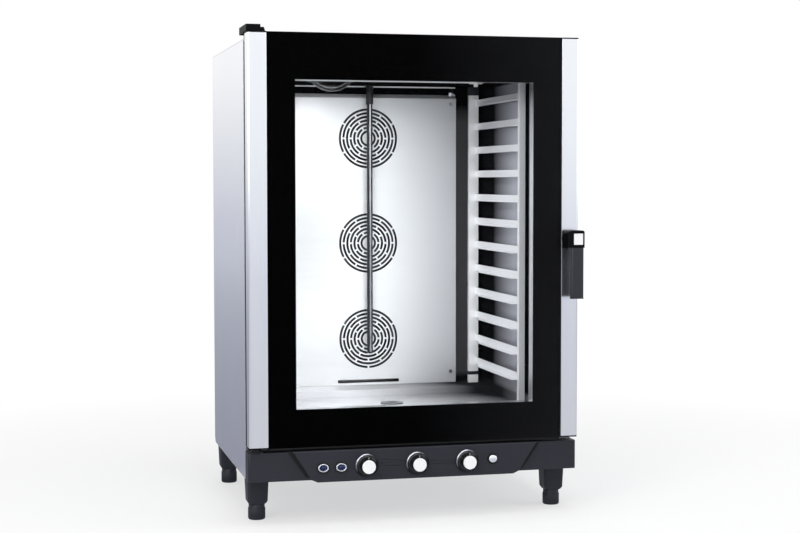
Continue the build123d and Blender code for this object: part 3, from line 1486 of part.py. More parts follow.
# Latch keeper: a cup behind the front frame with a cross pin, which the nose turns in front of
keeper_inner = latch_hole_radius + free_gap
keeper_outer = keeper_inner + keeper_wall
with BuildPart() as latch_keeper:
    block(
        (handle_x - keeper_outer, liner_front_y, handle_z - keeper_outer),
        (handle_x + keeper_outer, liner_front_y + keeper_depth, handle_z + keeper_outer),
    )
    block(
        (handle_x - keeper_inner, liner_front_y, handle_z - keeper_inner),
        (handle_x + keeper_inner, liner_front_y + keeper_depth - keeper_wall, handle_z + keeper_inner),
        Mode.SUBTRACT,
    )
    pin_y = nose_y + latch_thickness + 2 * keeper_pin_radius
    pin_start = (handle_x - keeper_inner, pin_y, handle_z - keeper_inner / 2)
    rod(pin_start, keeper_pin_radius, 2 * keeper_inner, "X")
latch_keeper.part.label = "latch_keeper"
export_step(latch_keeper.part, "parts/latch_keeper.step")
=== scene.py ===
# %% [markdown]
# # A steam convection oven, dressed
# The oven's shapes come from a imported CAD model. This lesson gives every piece of it a finish,
# adds the small shapes that sheet metal, castings and mouldings have, and lights it as a studio
# would. All lengths are metres, and all places are the CAD model's own. They stay where they
# are, and so do their meshes.

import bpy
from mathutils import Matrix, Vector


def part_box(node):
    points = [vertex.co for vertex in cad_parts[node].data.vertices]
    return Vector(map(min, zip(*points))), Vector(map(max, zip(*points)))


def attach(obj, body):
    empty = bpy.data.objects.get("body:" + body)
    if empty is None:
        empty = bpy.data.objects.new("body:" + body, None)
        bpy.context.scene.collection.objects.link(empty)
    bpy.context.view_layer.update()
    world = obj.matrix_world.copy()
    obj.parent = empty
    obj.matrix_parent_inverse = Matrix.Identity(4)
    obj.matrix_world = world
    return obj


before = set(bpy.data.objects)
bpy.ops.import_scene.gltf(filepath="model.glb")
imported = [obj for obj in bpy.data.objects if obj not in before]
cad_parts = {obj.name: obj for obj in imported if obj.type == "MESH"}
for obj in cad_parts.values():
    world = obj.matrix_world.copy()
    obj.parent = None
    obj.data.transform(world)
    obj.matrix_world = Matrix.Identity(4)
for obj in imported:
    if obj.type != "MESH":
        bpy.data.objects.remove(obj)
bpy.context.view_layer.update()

# %% Modules
import math

import bmesh
import bpy
from mathutils import Vector

MM = 0.001
print("Blender", bpy.app.version_string)

# %% [markdown]
# # A small language for shader nodes
# A material is a graph of nodes. Graphs can be clicked together by hand, or written as Python
# sums, which are shorter and easier to read again. Each output socket is wrapped in a Wire, and
# adding or multiplying wires makes the Math nodes that do it.

# %% Wires: sockets that Python's operators work on
class Wire:
    """One output socket in a node graph."""

    def __init__(self, graph, socket):
        self.graph = graph
        self.socket = socket

    def sum_with(self, operation, first, second):
        return self.graph.node("ShaderNodeMath", {"operation": operation}, {0: first, 1: second})

    def __add__(self, other):
        return self.sum_with("ADD", self, other)

    def __sub__(self, other):
        return self.sum_with("SUBTRACT", self, other)

    def __rsub__(self, other):
        return self.sum_with("SUBTRACT", other, self)

    def __mul__(self, other):
        return self.sum_with("MULTIPLY", self, other)

    __radd__ = __add__
    __rmul__ = __mul__


print("a Wire can be added, subtracted and multiplied")


# %% Graphs: one method makes every other node
class Graph:
    """A node graph of a material or of the world."""

    def __init__(self, tree):
        self.tree = tree
        self.tree.nodes.clear()

    def node(self, kind, settings=None, values=None, output=0):
        """A node of this kind: its settings first, then its sockets' values or wires."""
        made = self.tree.nodes.new(kind)
        for name, setting in (settings or {}).items():
            if name == "stops":
                ramp = made.color_ramp
                while len(ramp.elements) < len(setting):
                    ramp.elements.new(1.0)
                for element, (place, colour) in zip(ramp.elements, setting):
                    element.position = place
                    element.color = colour
            else:
                setattr(made, name, setting)
        for name, value in (values or {}).items():
            if isinstance(value, Wire):
                self.tree.links.new(value.socket, made.inputs[name])
            else:
                made.inputs[name].default_value = value
        return Wire(self, made.outputs[output]) if made.outputs else made


print("a Graph makes any node by its kind")

# %% [markdown]
# # Patterns that most finishes share
# Real finishes are never one flat colour. Noise in the object's own coordinates gives the uneven
# tone of metal and plastic, and stays on the piece when it moves. An image would need an
# unfolding of each piece, so the patterns are worked out instead. Small functions give names to
# the few patterns that come back: a blend, noise, a spread mask, a place along an axis, a bump.


# %% Helpers that most finishes share
def opaque(colour):
    """A colour with its fourth number."""
    return (*colour, 1.0)


def blend_colours(graph, factor, first, second):
    """From the first colour to the second as the factor goes from 0 to 1."""
    sockets = {
        0: factor,
        6: first if isinstance(first, Wire) else opaque(first),
        7: second if isinstance(second, Wire) else opaque(second),
    }
    return graph.node("ShaderNodeMix", {"data_type": "RGBA"}, sockets, 2)


def noise(graph, scale, detail=2.0, roughness=0.5):
    """Noise in the object's own coordinates. Three numbers as the scale draw it out."""
    place = graph.node("ShaderNodeTexCoord", output="Object")
    if isinstance(scale, (int, float)):
        scale = (scale, scale, scale)
    place = graph.node("ShaderNodeVectorMath", {"operation": "MULTIPLY"}, {0: place, 1: scale})
    values = {"Vector": place, "Scale": 1.0, "Detail": detail, "Roughness": roughness}
    return graph.node("ShaderNodeTexNoise", None, values)


def spread(graph, wire, low, high):
    """The part of a wire between low and high, opened out to 0 and 1."""
    sockets = {"Value": wire, "From Min": low, "From Max": high}
    return graph.node("ShaderNodeMapRange", None, sockets)


def along(graph, axis):
    """How far along X, Y or Z a point lies, in metres, in the object's own coordinates."""
    place = graph.node("ShaderNodeTexCoord", output="Object")
    return graph.node("ShaderNodeSeparateXYZ", None, {0: place}, "XYZ".index(axis))


def relief(graph, height, depth, strength=1.0):
    """A bump of this depth in metres."""
    values = {"Strength": strength, "Distance": depth, "Height": height}
    return graph.node("ShaderNodeBump", None, values)


finishes = {}


def finish_graph(name):
    """A new, empty material."""
    material = bpy.data.materials.new(name)
    material.use_nodes = True
    finishes[name] = material
    print("finish:", name)
    return Graph(material.node_tree)


def set_surface(graph, shader):
    """The shader goes to the material's output."""
    graph.node("ShaderNodeOutputMaterial", None, {"Surface": shader})


# %% [markdown]
# # Brushed sheet
# The casing is stainless sheet. A belt of abrasive leaves fine parallel scratches on it, which
# blur reflections across the grain. Noise drawn out along one axis gives those scratches. They
# change the roughness and the height, and only a little of the colour, because scratched metal
# is the same metal. Slower streaks and a faint cloudiness stand for rolling and handling. Beyond
# a place along an axis the colour can fall to a second, darker one. On the side sheet's top edge
# and across the baffle's right part this is painted shade; on the racks it is only a darker front.

# %% Brushed metal
SCRATCH_DEPTH = 2e-6
DRAWN_OUT = 90
BAND_WIDTH = 9


def brushed_metal(name, dark, light, grain, roughness, fineness=900.0, metal=1.0, darker_beyond=None):
    """A brushed metal whose scratches run along X, Y or Z. Beyond a place it can turn darker."""
    graph = finish_graph(name)
    drawn_out = [fineness] * 3
    drawn_out["XYZ".index(grain)] = fineness / DRAWN_OUT
    scratches = noise(graph, drawn_out, 3.0)
    bands = noise(graph, [size / BAND_WIDTH for size in drawn_out], 2.0)
    clouds = noise(graph, 3.5, 3.0)
    tone = spread(graph, 0.55 * scratches + 0.3 * bands + 0.15 * clouds, 0.35, 0.65)
    rough = roughness + 0.10 * (scratches - 0.5) + 0.10 * (clouds - 0.5)
    colour = blend_colours(graph, tone, dark, light)
    if darker_beyond:
        axis, start, end, darker_colour = darker_beyond
        darkening = spread(graph, along(graph, axis), start, end)
        colour = blend_colours(graph, darkening, colour, darker_colour)
    shader = graph.node("ShaderNodeBsdfPrincipled", None, {
        "Base Color": colour,
        "Metallic": metal,
        "Roughness": rough,
        "Normal": relief(graph, scratches, SCRATCH_DEPTH),
    })
    set_surface(graph, shader)


# Painted shade: a darker band along the side sheet's top edge, where its rounded fold turns from
# the light.
brushed_metal("side_sheet", (0.91, 0.92, 0.97), (0.97, 0.98, 1.0), "Z", 0.24,
              darker_beyond=("Z", 1.2062, 1.2072, (0.70, 0.70, 0.71)))
brushed_metal("top_sheet", (0.74, 0.74, 0.77), (0.82, 0.82, 0.85), "Y", 0.30)
brushed_metal("frame_sheet", (0.55, 0.55, 0.57), (0.66, 0.66, 0.68), "Z", 0.30)
brushed_metal("door_aluminium", (0.92, 0.94, 0.98), (0.97, 0.98, 1.0), "Z", 0.20, 1200.0)
# Painted shade: the baffle's colour darkens towards its right, where less light falls.
brushed_metal("baffle_sheet", (0.91, 0.92, 0.94), (0.97, 0.98, 0.99), "X", 0.34, 700.0, 0.55,
              darker_beyond=("X", 0.04, 0.26, (0.70, 0.70, 0.73)))
brushed_metal("rack_steel", (0.94, 0.94, 0.96), (0.98, 0.98, 1.0), "Y", 0.34, 700.0, 0.15,
              darker_beyond=("Y", 0.125, 0.0, (0.82, 0.82, 0.85)))
brushed_metal("pipe_steel", (0.66, 0.66, 0.68), (0.76, 0.76, 0.78), "Z", 0.26, 700.0)
# Painted shade: the fan wheels get dark steel, as they sit in shadow behind the baffle.
brushed_metal("wheel_steel_in_painted_shade", (0.10, 0.10, 0.11), (0.16, 0.16, 0.17), "Y", 0.40, 500.0)
# Painted reflection: the lance's steel is dark, standing for the dark door and cavity a polished
# tube mirrors on its sides.
brushed_metal("lance_painted_dark", (0.030, 0.030, 0.034), (0.055, 0.055, 0.060), "Z", 0.34, 700.0, 0.5)
brushed_metal("strainer_steel", (0.16, 0.16, 0.17), (0.26, 0.26, 0.27), "Y", 0.30, 500.0)
print("brushed finishes:", sorted(finishes))

# %% [markdown]
# # The cavity liner
# The liner is one folded sheet. Its colour is painted light and shade: dark towards the back,
# under the ceiling and close to the door, bright in a band between, a mid grey behind the baffle,
# and on the floor a painted pool of light, bright at the left front and dark towards the right.
# One texture painted over it would need an unfolding. Masks from the place along each axis do the
# same here, because the walls, the floor and the ceiling lie square to the axes. The painted dark
# zones lose their metal shine as well.

# %% Cavity liner: painted light and shade in masks along each axis
graph = finish_graph("liner_sheet")
scratches = noise(graph, (700.0, 700.0, 8.0), 3.0)
clouds = noise(graph, 5.0, 3.0)
across = along(graph, "X")
depth = along(graph, "Y") + 0.04 * (clouds - 0.5)
height = along(graph, "Z")
# Painted light and shade on the walls: lit in a band of depth, dark towards the back and near the
# door.
lit_walls = spread(graph, depth, 0.035, -0.15) * spread(graph, depth, -0.245, -0.205)
wall = blend_colours(graph, lit_walls, (0.008, 0.008, 0.010), (0.52, 0.52, 0.58))
back = spread(graph, depth, 0.218, 0.226) * spread(graph, height, 1.08, 1.03)
behind = blend_colours(graph, back, wall, (0.17, 0.17, 0.18))
# A painted pool of light on the floor, bright at the left front and dark towards the right.
lit_floor_pool = spread(graph, across + 0.5 * depth, 0.30, -0.12)
floor_painted_light = blend_colours(graph, lit_floor_pool, (0.020, 0.020, 0.024), (0.96, 0.96, 0.99))
is_floor = spread(graph, height, 0.300, 0.284)
low = blend_colours(graph, is_floor, behind, floor_painted_light)
# The ceiling is painted dark, as shade.
is_ceiling = spread(graph, height, 1.118, 1.122)
# The metal's shine follows the painted light: the painted dark zones are not metallic.
shine = lit_walls + is_floor * (lit_floor_pool - lit_walls)
set_surface(graph, graph.node("ShaderNodeBsdfPrincipled", None, {
    "Base Color": blend_colours(graph, is_ceiling, low, (0.004, 0.004, 0.005)),
    "Metallic": 0.7 * shine * (1.0 - is_ceiling),
    "Roughness": 0.28 + 0.12 * scratches + 0.2 * is_ceiling - 0.10 * is_floor,
    "Specular IOR Level": 0.0,
    "Normal": relief(graph, scratches, SCRATCH_DEPTH),
}))

# %% [markdown]
# # Bright and coated metals
# Polished pieces mirror the room with only a trace of haze; the bright strip on the lance's front
# is one, laid on as a painted highlight. The rings on the fascia are black chrome with a painted
# highlight: their colour turns bright where the surface faces the upper left, towards the light,
# so a crescent shows there. Zinc coating freezes in leafy patches, which a Voronoi pattern draws
# well. A heater that has been hot shows brown and blue-grey in soft clouds.

# %% Polished steel
POLISH_DEPTH = 1e-6
graph = finish_graph("polished_steel")
smears = noise(graph, 90.0, 4.0)
fine = noise(graph, 1500.0, 2.0)
set_surface(graph, graph.node("ShaderNodeBsdfPrincipled", None, {
    "Base Color": blend_colours(graph, smears, (0.74, 0.74, 0.77), (0.84, 0.84, 0.86)),
    "Metallic": 1.0,
    "Roughness": 0.10 + 0.10 * smears,
    "Normal": relief(graph, fine, POLISH_DEPTH),
}))

# %% Chrome of the control rings
HIGHLIGHT_SIDE = (-0.68, 0.0, 0.73)
graph = finish_graph("ring_chrome")
smears = noise(graph, 120.0, 3.0)
facing = graph.node("ShaderNodeTexCoord", output="Normal")
upper_left = graph.node(
    "ShaderNodeVectorMath", {"operation": "DOT_PRODUCT"}, {0: facing, 1: HIGHLIGHT_SIDE}, "Value")
# Painted highlight: the slope turns bright where it faces the upper left, towards the light.
painted_crescent = spread(graph, upper_left, 0.10, 0.50)
black_chrome = blend_colours(graph, smears, (0.020, 0.020, 0.024), (0.035, 0.035, 0.040))
set_surface(graph, graph.node("ShaderNodeBsdfPrincipled", None, {
    "Base Color": blend_colours(graph, painted_crescent, black_chrome, (0.38, 0.38, 0.43)),
    "Metallic": 1.0,
    "Roughness": 0.20 + 0.10 * smears,
}))

# %% Bright chrome of the pilot bezels
graph = finish_graph("bright_chrome")
smears = noise(graph, 160.0, 3.0)
set_surface(graph, graph.node("ShaderNodeBsdfPrincipled", None, {
    "Base Color": blend_colours(graph, smears, (0.80, 0.82, 0.88), (0.90, 0.92, 0.97)),
    "Metallic": 0.7,
    "Roughness": 0.20 + 0.10 * smears,
}))

# %% Galvanised sheet
graph = finish_graph("galvanised_steel")
place = graph.node("ShaderNodeTexCoord", output="Object")
leaves = graph.node(
    "ShaderNodeTexVoronoi", {"feature": "F1"}, {"Vector": place, "Scale": 95.0}, "Color")
leaf = graph.node("ShaderNodeSeparateColor", None, {"Color": leaves}, 0)
patches = noise(graph, 6.0, 3.0)
tone = spread(graph, 0.6 * leaf + 0.4 * patches, 0.2, 0.8)
set_surface(graph, graph.node("ShaderNodeBsdfPrincipled", None, {
    "Base Color": blend_colours(graph, tone, (0.50, 0.51, 0.54), (0.66, 0.67, 0.70)),
    "Metallic": 1.0,
    "Roughness": 0.36 + 0.16 * leaf,
    "Normal": relief(graph, leaf, 4e-6),
}))

# %% Steel that has been hot
graph = finish_graph("dark_heated_steel")
clouds = noise(graph, 24.0, 4.0)
tint = graph.node("ShaderNodeValToRGB", {"stops": [
    (0.30, (0.050, 0.046, 0.048, 1.0)),
    (0.50, (0.125, 0.100, 0.085, 1.0)),
    (0.72, (0.160, 0.150, 0.165, 1.0)),
]}, {"Fac": clouds})
set_surface(graph, graph.node("ShaderNodeBsdfPrincipled", None, {
    "Base Color": tint,
    "Metallic": 0.9,
    "Roughness": 0.38 + 0.2 * clouds,
    "Normal": relief(graph, noise(graph, 900.0, 3.0), 6e-6),
}))

# %% Turned brass
graph = finish_graph("brass")
turning = noise(graph, (300.0, 2500.0, 300.0), 2.0)
set_surface(graph, graph.node("ShaderNodeBsdfPrincipled", None, {
    "Base Color": blend_colours(graph, turning, (0.62, 0.43, 0.16), (0.80, 0.60, 0.27)),
    "Metallic": 1.0,
    "Roughness": 0.24 + 0.14 * turning,
    "Normal": relief(graph, turning, 6e-6),
}))
print("metals so far:", len(finishes))

# %% [markdown]
# # Plastics, enamel and rubber
# Moulded plastic takes the fine texture of its mould, so it never mirrors like paint. Two sizes
# of noise give that texture: one for the grain of the mould and one for faint flow marks, which
# change the sheen. Enamel is baked glass, so it is smooth, with a slight orange-peel ripple.

# %% Moulded and coated finishes
def moulded(name, dark, light, roughness, gloss=0.5, grain=1800.0, depth=1.5e-5, coat=0.0):
    """A moulded, painted or enamelled surface. A gloss of 0.5 mirrors as plain plastic does."""
    graph = finish_graph(name)
    texture = noise(graph, grain, 3.0, 0.6)
    flow = noise(graph, 14.0, 3.0)
    specks = spread(graph, noise(graph, grain / 4, 2.0), 0.55, 0.75)
    shader = graph.node("ShaderNodeBsdfPrincipled", None, {
        "Base Color": blend_colours(graph, 0.5 * flow + 0.5 * specks, dark, light),
        "Roughness": roughness + 0.12 * (texture - 0.5) + 0.10 * (flow - 0.5),
        "Specular IOR Level": gloss,
        "Coat Weight": coat,
        "Coat Roughness": 0.08,
        "Normal": relief(graph, texture, depth, 0.6),
    })
    set_surface(graph, shader)


moulded("dark_grey_plastic", (0.022, 0.023, 0.031), (0.032, 0.033, 0.045), 0.50, 0.22)
moulded("black_plastic", (0.002, 0.002, 0.003), (0.006, 0.006, 0.008), 0.50, 0.06)
moulded("grip_plastic", (0.026, 0.028, 0.034), (0.038, 0.041, 0.049), 0.46, 0.22, 2400.0)
moulded("knob_plastic", (0.004, 0.004, 0.005), (0.009, 0.009, 0.011), 0.26, 0.5, 2400.0, 6e-6)
moulded("pale_plastic", (0.92, 0.92, 0.94), (0.98, 0.98, 0.99), 0.30, 0.5, 1200.0, 4e-6)
moulded("switch_plastic", (0.25, 0.24, 0.22), (0.33, 0.32, 0.30), 0.55)
moulded("black_silicone", (0.006, 0.006, 0.007), (0.012, 0.012, 0.013), 0.62, 0.25, 1200.0, 2e-5)
moulded("motor_enamel", (0.080, 0.080, 0.088), (0.110, 0.110, 0.120), 0.35, 0.5, 500.0, 1e-5, 0.3)
moulded("black_enamelled_steel", (0.006, 0.006, 0.007), (0.012, 0.012, 0.014),
        0.34, 0.25, 300.0, 5e-6)
print("finishes so far:", len(finishes))

# %% [markdown]
# # Mineral wool
# The slabs round the cavity are felted fibres, yellow brown and quite dull. Real fibres as
# geometry would be far too many, and nobody looks that close. Noise that is drawn out gives the
# lie of the fibres, slower noise gives the tufts, and both raise a deep bump.

# %% Mineral wool
graph = finish_graph("mineral_wool")
fibres = noise(graph, (260.0, 260.0, 40.0), 5.0, 0.7)
tufts = noise(graph, 30.0, 4.0)
wool = 0.5 * fibres + 0.5 * tufts
set_surface(graph, graph.node("ShaderNodeBsdfPrincipled", None, {
    "Base Color": blend_colours(graph, wool, (0.38, 0.32, 0.16), (0.72, 0.64, 0.40)),
    "Roughness": 0.95,
    "Normal": relief(graph, fibres + tufts, 6e-4),
}))

# %% [markdown]
# # Glass
# A pane is clear all through and mirrors a little at each face, more at a glancing angle. A full
# glass shader bends light at both faces, which is slow and noisy for a flat pane whose two bends
# cancel. So the panes mix a transparent shader with a mirror by Fresnel. The mirror is kept
# weak, as on the coated glass of an oven door. The lamp's lens is pressed glass with a ripple.
# The border is black enamel, fired on, and greyer towards the handle side, which is a painted
# reflection. The pilot lenses are deep blue plastic.

# %% Clear panes
WHITE = (1.0, 1.0, 1.0)


def pane(name, tint, index, roughness=0.02, ripple=0.0):
    """Thin clear glass whose mirror follows this index of refraction."""
    graph = finish_graph(name)
    smears = noise(graph, 7.0, 4.0)
    bump = {"Normal": relief(graph, noise(graph, 60.0, 2.0), ripple)} if ripple else {}
    mirror = graph.node("ShaderNodeBsdfGlossy", None, {
        "Color": opaque(WHITE),
        "Roughness": roughness,
        **bump,
    })
    clear = graph.node("ShaderNodeBsdfTransparent", None, {"Color": opaque(tint)})
    fresnel = graph.node("ShaderNodeFresnel", None, {"IOR": index, **bump})
    amount = fresnel * (0.85 + 0.3 * smears)
    set_surface(graph, graph.node("ShaderNodeMixShader", None, {0: amount, 1: clear, 2: mirror}))


pane("door_glass", (0.985, 0.99, 0.99), 1.04)
pane("lamp_glass", (0.60, 0.61, 0.62), 1.12, 0.04, 2e-4)
pane("bulb_glass", (0.95, 0.95, 0.95), 1.10)

# %% Black enamel fired on the glass
graph = finish_graph("black_enamel")
dust = noise(graph, 240.0, 3.0)
clean_black = blend_colours(graph, dust, (0.0004, 0.0004, 0.0005), (0.0012, 0.0012, 0.0014))
# Painted reflection: the border turns greyer towards the right.
painted_reflection_right = spread(graph, along(graph, "X"), 0.0, 0.42)
set_surface(graph, graph.node("ShaderNodeBsdfPrincipled", None, {
    "Base Color": blend_colours(graph, painted_reflection_right, clean_black, (0.0110, 0.0110, 0.0125)),
    "Roughness": 0.22 + 0.1 * dust,
    "Specular IOR Level": 0.01,
    "Normal": relief(graph, dust, 2e-6),
}))

# %% Tinted lenses
graph = finish_graph("blue_lens")
depths = noise(graph, 420.0, 3.0)
set_surface(graph, graph.node("ShaderNodeBsdfPrincipled", None, {
    "Base Color": blend_colours(graph, depths, (0.001, 0.005, 0.036), (0.003, 0.015, 0.095)),
    "Roughness": 0.10 + 0.05 * depths,
    "Specular IOR Level": 0.15,
    "Coat Weight": 0.3,
    "Coat Roughness": 0.06,
    "Normal": relief(graph, depths, 2e-5),
}))
print("finishes in all:", len(finishes))

# %% [markdown]
# # Edges
# A folded, cut or moulded edge is never perfectly sharp. A narrow rounded edge catches a line of
# light, and that line is much of what makes a metal box look real. Each CAD piece keeps its
# mesh, and a Bevel modifier rounds its edges as it is drawn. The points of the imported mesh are
# joined first, because a bevel needs faces that share their edges.

# %% Finish a CAD piece
SAME_POINT = 0.01
SHARP_ANGLE = 32.0
EDGE_STEPS = 2


def dress(node, finish, edge):
    """This CAD node gets its finish, and edges rounded by this many millimetres."""
    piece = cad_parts[node]
    piece.data.materials.clear()
    piece.data.materials.append(finishes[finish])
    weld = piece.modifiers.new("joined_points", "WELD")
    weld.merge_threshold = SAME_POINT * MM
    if edge:
        bevel = piece.modifiers.new("soft_edges", "BEVEL")
        bevel.width = edge * MM
        bevel.segments = EDGE_STEPS
        bevel.limit_method = "ANGLE"
        bevel.angle_limit = math.radians(SHARP_ANGLE)
        bevel.harden_normals = True
        bevel.use_clamp_overlap = True


def dress_all(pieces):
    """Dresses each CAD node in its finish and edge."""
    for node, (finish, edge) in pieces.items():
        dress(node, finish, edge)


print("edges are rounded in", EDGE_STEPS, "steps")

# %% [markdown]
# # The casing
# The sides and the top are brushed stainless sheet, which is wiped every day. The back, its
# cover and the tray below are galvanised, since nobody sees them. The base, the legs and the
# feet are dark plastic. Each piece could have a call of its own, but a table of names, finishes
# and edges in millimetres is easier to read and to change. Folded sheet gets wider edges than
# cut sheet.

# %% The casing
CORNERS = ("front_left", "front_right", "rear_left", "rear_right")
casing = {
    "left_side_panel": ("side_sheet", 0.8),
    "right_side_panel": ("side_sheet", 0.8),
    "top_panel": ("top_sheet", 0.8),
    "rear_panel": ("galvanised_steel", 0.4),
    "motor_cover": ("galvanised_steel", 0.4),
    "front_frame": ("frame_sheet", 0.5),
    "base_tray": ("galvanised_steel", 0.5),
    "base_moulding": ("dark_grey_plastic", 1.2),
    "control_fascia": ("dark_grey_plastic", 0.6),
    "legs": ("dark_grey_plastic", 1.0),
    "panel_screws": ("polished_steel", 0.2),
    "hinge_brackets": ("black_enamelled_steel", 0.6),
    "hinge_cap": ("black_plastic", 0.8),
    "vent_pipe": ("pipe_steel", 0.5),
    "water_valve": ("brass", 0.4),
    "cable_gland": ("black_plastic", 0.4),
    "drain_pipe": ("pipe_steel", 0.4),
}
for corner in CORNERS:
    casing[corner + "_foot"] = ("dark_grey_plastic", 0.5)
dress_all(casing)
print("casing pieces:", len(casing))

# %% [markdown]
# # The door
# Two aluminium profiles hold the outer glass, and a steel frame behind it holds the inner one.
# The glass keeps its sharp edges, because a bevel on a thin clear pane only makes it slower to
# draw. The border is fired on the back of the outer glass, so it is a piece of its own.

# %% The door
door = {
    "door_left_profile": ("door_aluminium", 0.8),
    "door_right_profile": ("door_aluminium", 0.8),
    "profile_end_caps": ("black_plastic", 0.5),
    "outer_glass": ("door_glass", 0.0),
    "glass_border": ("black_enamel", 0.0),
    "inner_frame": ("pipe_steel", 0.5),
    "inner_glass": ("door_glass", 0.0),
    "handle_head": ("black_plastic", 0.5),
    "handle_inset": ("pale_plastic", 0.3),
    "handle_grip": ("grip_plastic", 0.5),
    "latch_shaft": ("polished_steel", 0.4),
}
dress_all(door)
print("door pieces:", len(door))

# %% [markdown]
# # The cavity
# All that stands in the steam is stainless: the liner, the baffle and the racks are bright, and
# the heaters have gone dark with heat. The fan wheels are dark as painted shade, and the lance's
# sides as a painted dark reflection. The seal round the mouth is silicone. Motors and insulation
# sit behind the liner and show only where a cover is lifted.

# %% The cavity
cavity = {
    "door_gasket": ("black_silicone", 0.8),
    "cavity_liner": ("liner_sheet", 0.8),
    "insulation_slabs": ("mineral_wool", 2.0),
    "air_baffle": ("baffle_sheet", 0.3),
    "left_rack": ("rack_steel", 0.5),
    "right_rack": ("rack_steel", 0.5),
    "water_lance": ("lance_painted_dark", 0.3),
    "lance_sleeve": ("lance_painted_dark", 0.4),
    "lamp_housing": ("black_enamelled_steel", 0.4),
    "lamp_lens": ("lamp_glass", 0.0),
    "lamp_bulb": ("bulb_glass", 0.0),
    "drain_strainer": ("strainer_steel", 0.3),
    "fan_motors": ("motor_enamel", 0.8),
    "fan_wheel_bottom": ("wheel_steel_in_painted_shade", 0.3),
    "fan_wheel_middle": ("wheel_steel_in_painted_shade", 0.3),
    "fan_wheel_top": ("wheel_steel_in_painted_shade", 0.3),
    "ring_heaters": ("dark_heated_steel", 0.0),
    "latch_keeper": ("galvanised_steel", 0.4),
}
dress_all(cavity)
print("cavity pieces:", len(cavity))

# %% [markdown]
# # The controls
# A cook finds a knob by its pale cap on a black body. The rings and the button are black, and
# bright trim is laid on them further down. The three knobs are alike, so a loop adds them.

# %% The controls
KNOBS = ("timer", "temperature", "steam")
controls = {
    "fascia_rings": ("black_silicone", 0.2),
    "pilot_lenses": ("blue_lens", 0.0),
    "control_switches": ("switch_plastic", 0.5),
    "push_button": ("black_silicone", 0.0),
}
for knob in KNOBS:
    controls[knob + "_knob"] = ("knob_plastic", 0.3)
    controls[knob + "_knob_cap"] = ("pale_plastic", 0.0)
dress_all(controls)
print("control pieces:", len(controls))

# %% [markdown]
# # Small pieces
# Some small shapes are easier to draw here than in the CAD model: a pointer on each knob, the
# oval bezels round the pilot lamps, rubber strips, ribs on the feet. They could be made by
# adding a cube or a cylinder and scaling it, but then every edge is razor sharp. Two helpers
# build them in bmesh instead. One makes a block with rounded edges. The other turns an outline
# round an axis, as a lathe would, and can squash the round shape to an oval.

# %% A new piece: its mesh, finish and body
def new_piece(name, mesh_work, finish, body, smooth=True):
    """Turns finished bmesh work into a piece that rides on a CAD body."""
    mesh = bpy.data.meshes.new(name)
    bmesh.ops.recalc_face_normals(mesh_work, faces=mesh_work.faces)
    mesh_work.to_mesh(mesh)
    mesh_work.free()
    for face in mesh.polygons:
        face.use_smooth = smooth
    piece = bpy.data.objects.new(name, mesh)
    bpy.context.scene.collection.objects.link(piece)
    mesh.materials.append(finishes[finish])
    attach(piece, body)
    return piece


def rounded_block(work, low, high, edge):
    """A block between two corners, in millimetres, with its edges rounded."""
    corners = [
        work.verts.new([(low, high)[pick >> axis & 1][axis] * MM for axis in range(3)])
        for pick in range(8)
    ]
    around = ((0, 2, 3, 1), (4, 5, 7, 6), (0, 1, 5, 4), (2, 6, 7, 3), (0, 4, 6, 2), (1, 3, 7, 5))
    faces = [work.faces.new([corners[place] for place in ring]) for ring in around]
    edges = list({one for face in faces for one in face.edges})
    bmesh.ops.bevel(work, geom=edges, offset=edge * MM, segments=2, profile=0.5, affect="EDGES")


def turned_shape(work, outline, centre, steps=48, squash=(1.0, 1.0)):
    """Turns (radius, depth) points, in millimetres, round an axis that runs from front to back."""
    rings = []
    for radius, depth in outline:
        ring = []
        for step in range(steps):
            angle = math.tau * step / steps
            across = centre[0] + radius * squash[0] * math.cos(angle)
            up = centre[1] + radius * squash[1] * math.sin(angle)
            ring.append(work.verts.new((across * MM, depth * MM, up * MM)))
        rings.append(ring)
    for first, second in zip(rings, rings[1:]):
        for step in range(steps):
            after = (step + 1) % steps
            work.faces.new((first[step], first[after], second[after], second[step]))
    return rings


print("helpers ready")

# %% [markdown]
# # Knob pointers
# A knob needs a mark that shows where it points. On this oven it is a short grey bar on the
# front of the black knob, between its cap and its rim. It is moulded in, so it stands only a
# little proud. Each pointer rides on its own knob and turns with it.

# %% Pointers
KNOB_FACE = -389.5
KNOB_HEIGHT = 144.0
POINTER_HALF_WIDTH = 1.2
POINTER_FROM, POINTER_TO = 18.2, 23.6


def middle_of(node, axis):
    """The middle of a CAD node's box along an axis, in millimetres."""
    low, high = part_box(node)
    return (low[axis] + high[axis]) / 2 / MM


for knob in KNOBS:
    middle = middle_of(knob + "_knob", 0)
    work = bmesh.new()
    rounded_block(
        work,
        (middle - POINTER_HALF_WIDTH, KNOB_FACE - 0.5, KNOB_HEIGHT + POINTER_FROM),
        (middle + POINTER_HALF_WIDTH, KNOB_FACE + 0.6, KNOB_HEIGHT + POINTER_TO),
        0.4,
    )
    new_piece(knob + "_pointer", work, "switch_plastic", knob + "_knob")
    print(knob, "pointer at", round(middle, 1), KNOB_HEIGHT + POINTER_FROM)

# %% [markdown]
# # Pilot lamps
# Each lamp is a blue lens in a bright oval bezel, and the bezel sits on a black seal ring that is
# partly a seal and partly painted shade round the bezel. The bezel is a shallow ring whose section
# rises to a crest and falls again to the lens. The lens is a deep dome, so that it catches one
# small bright spot wherever the light comes from. All three are outlines that are turned round the
# lamp's axis and then squashed from top to bottom.

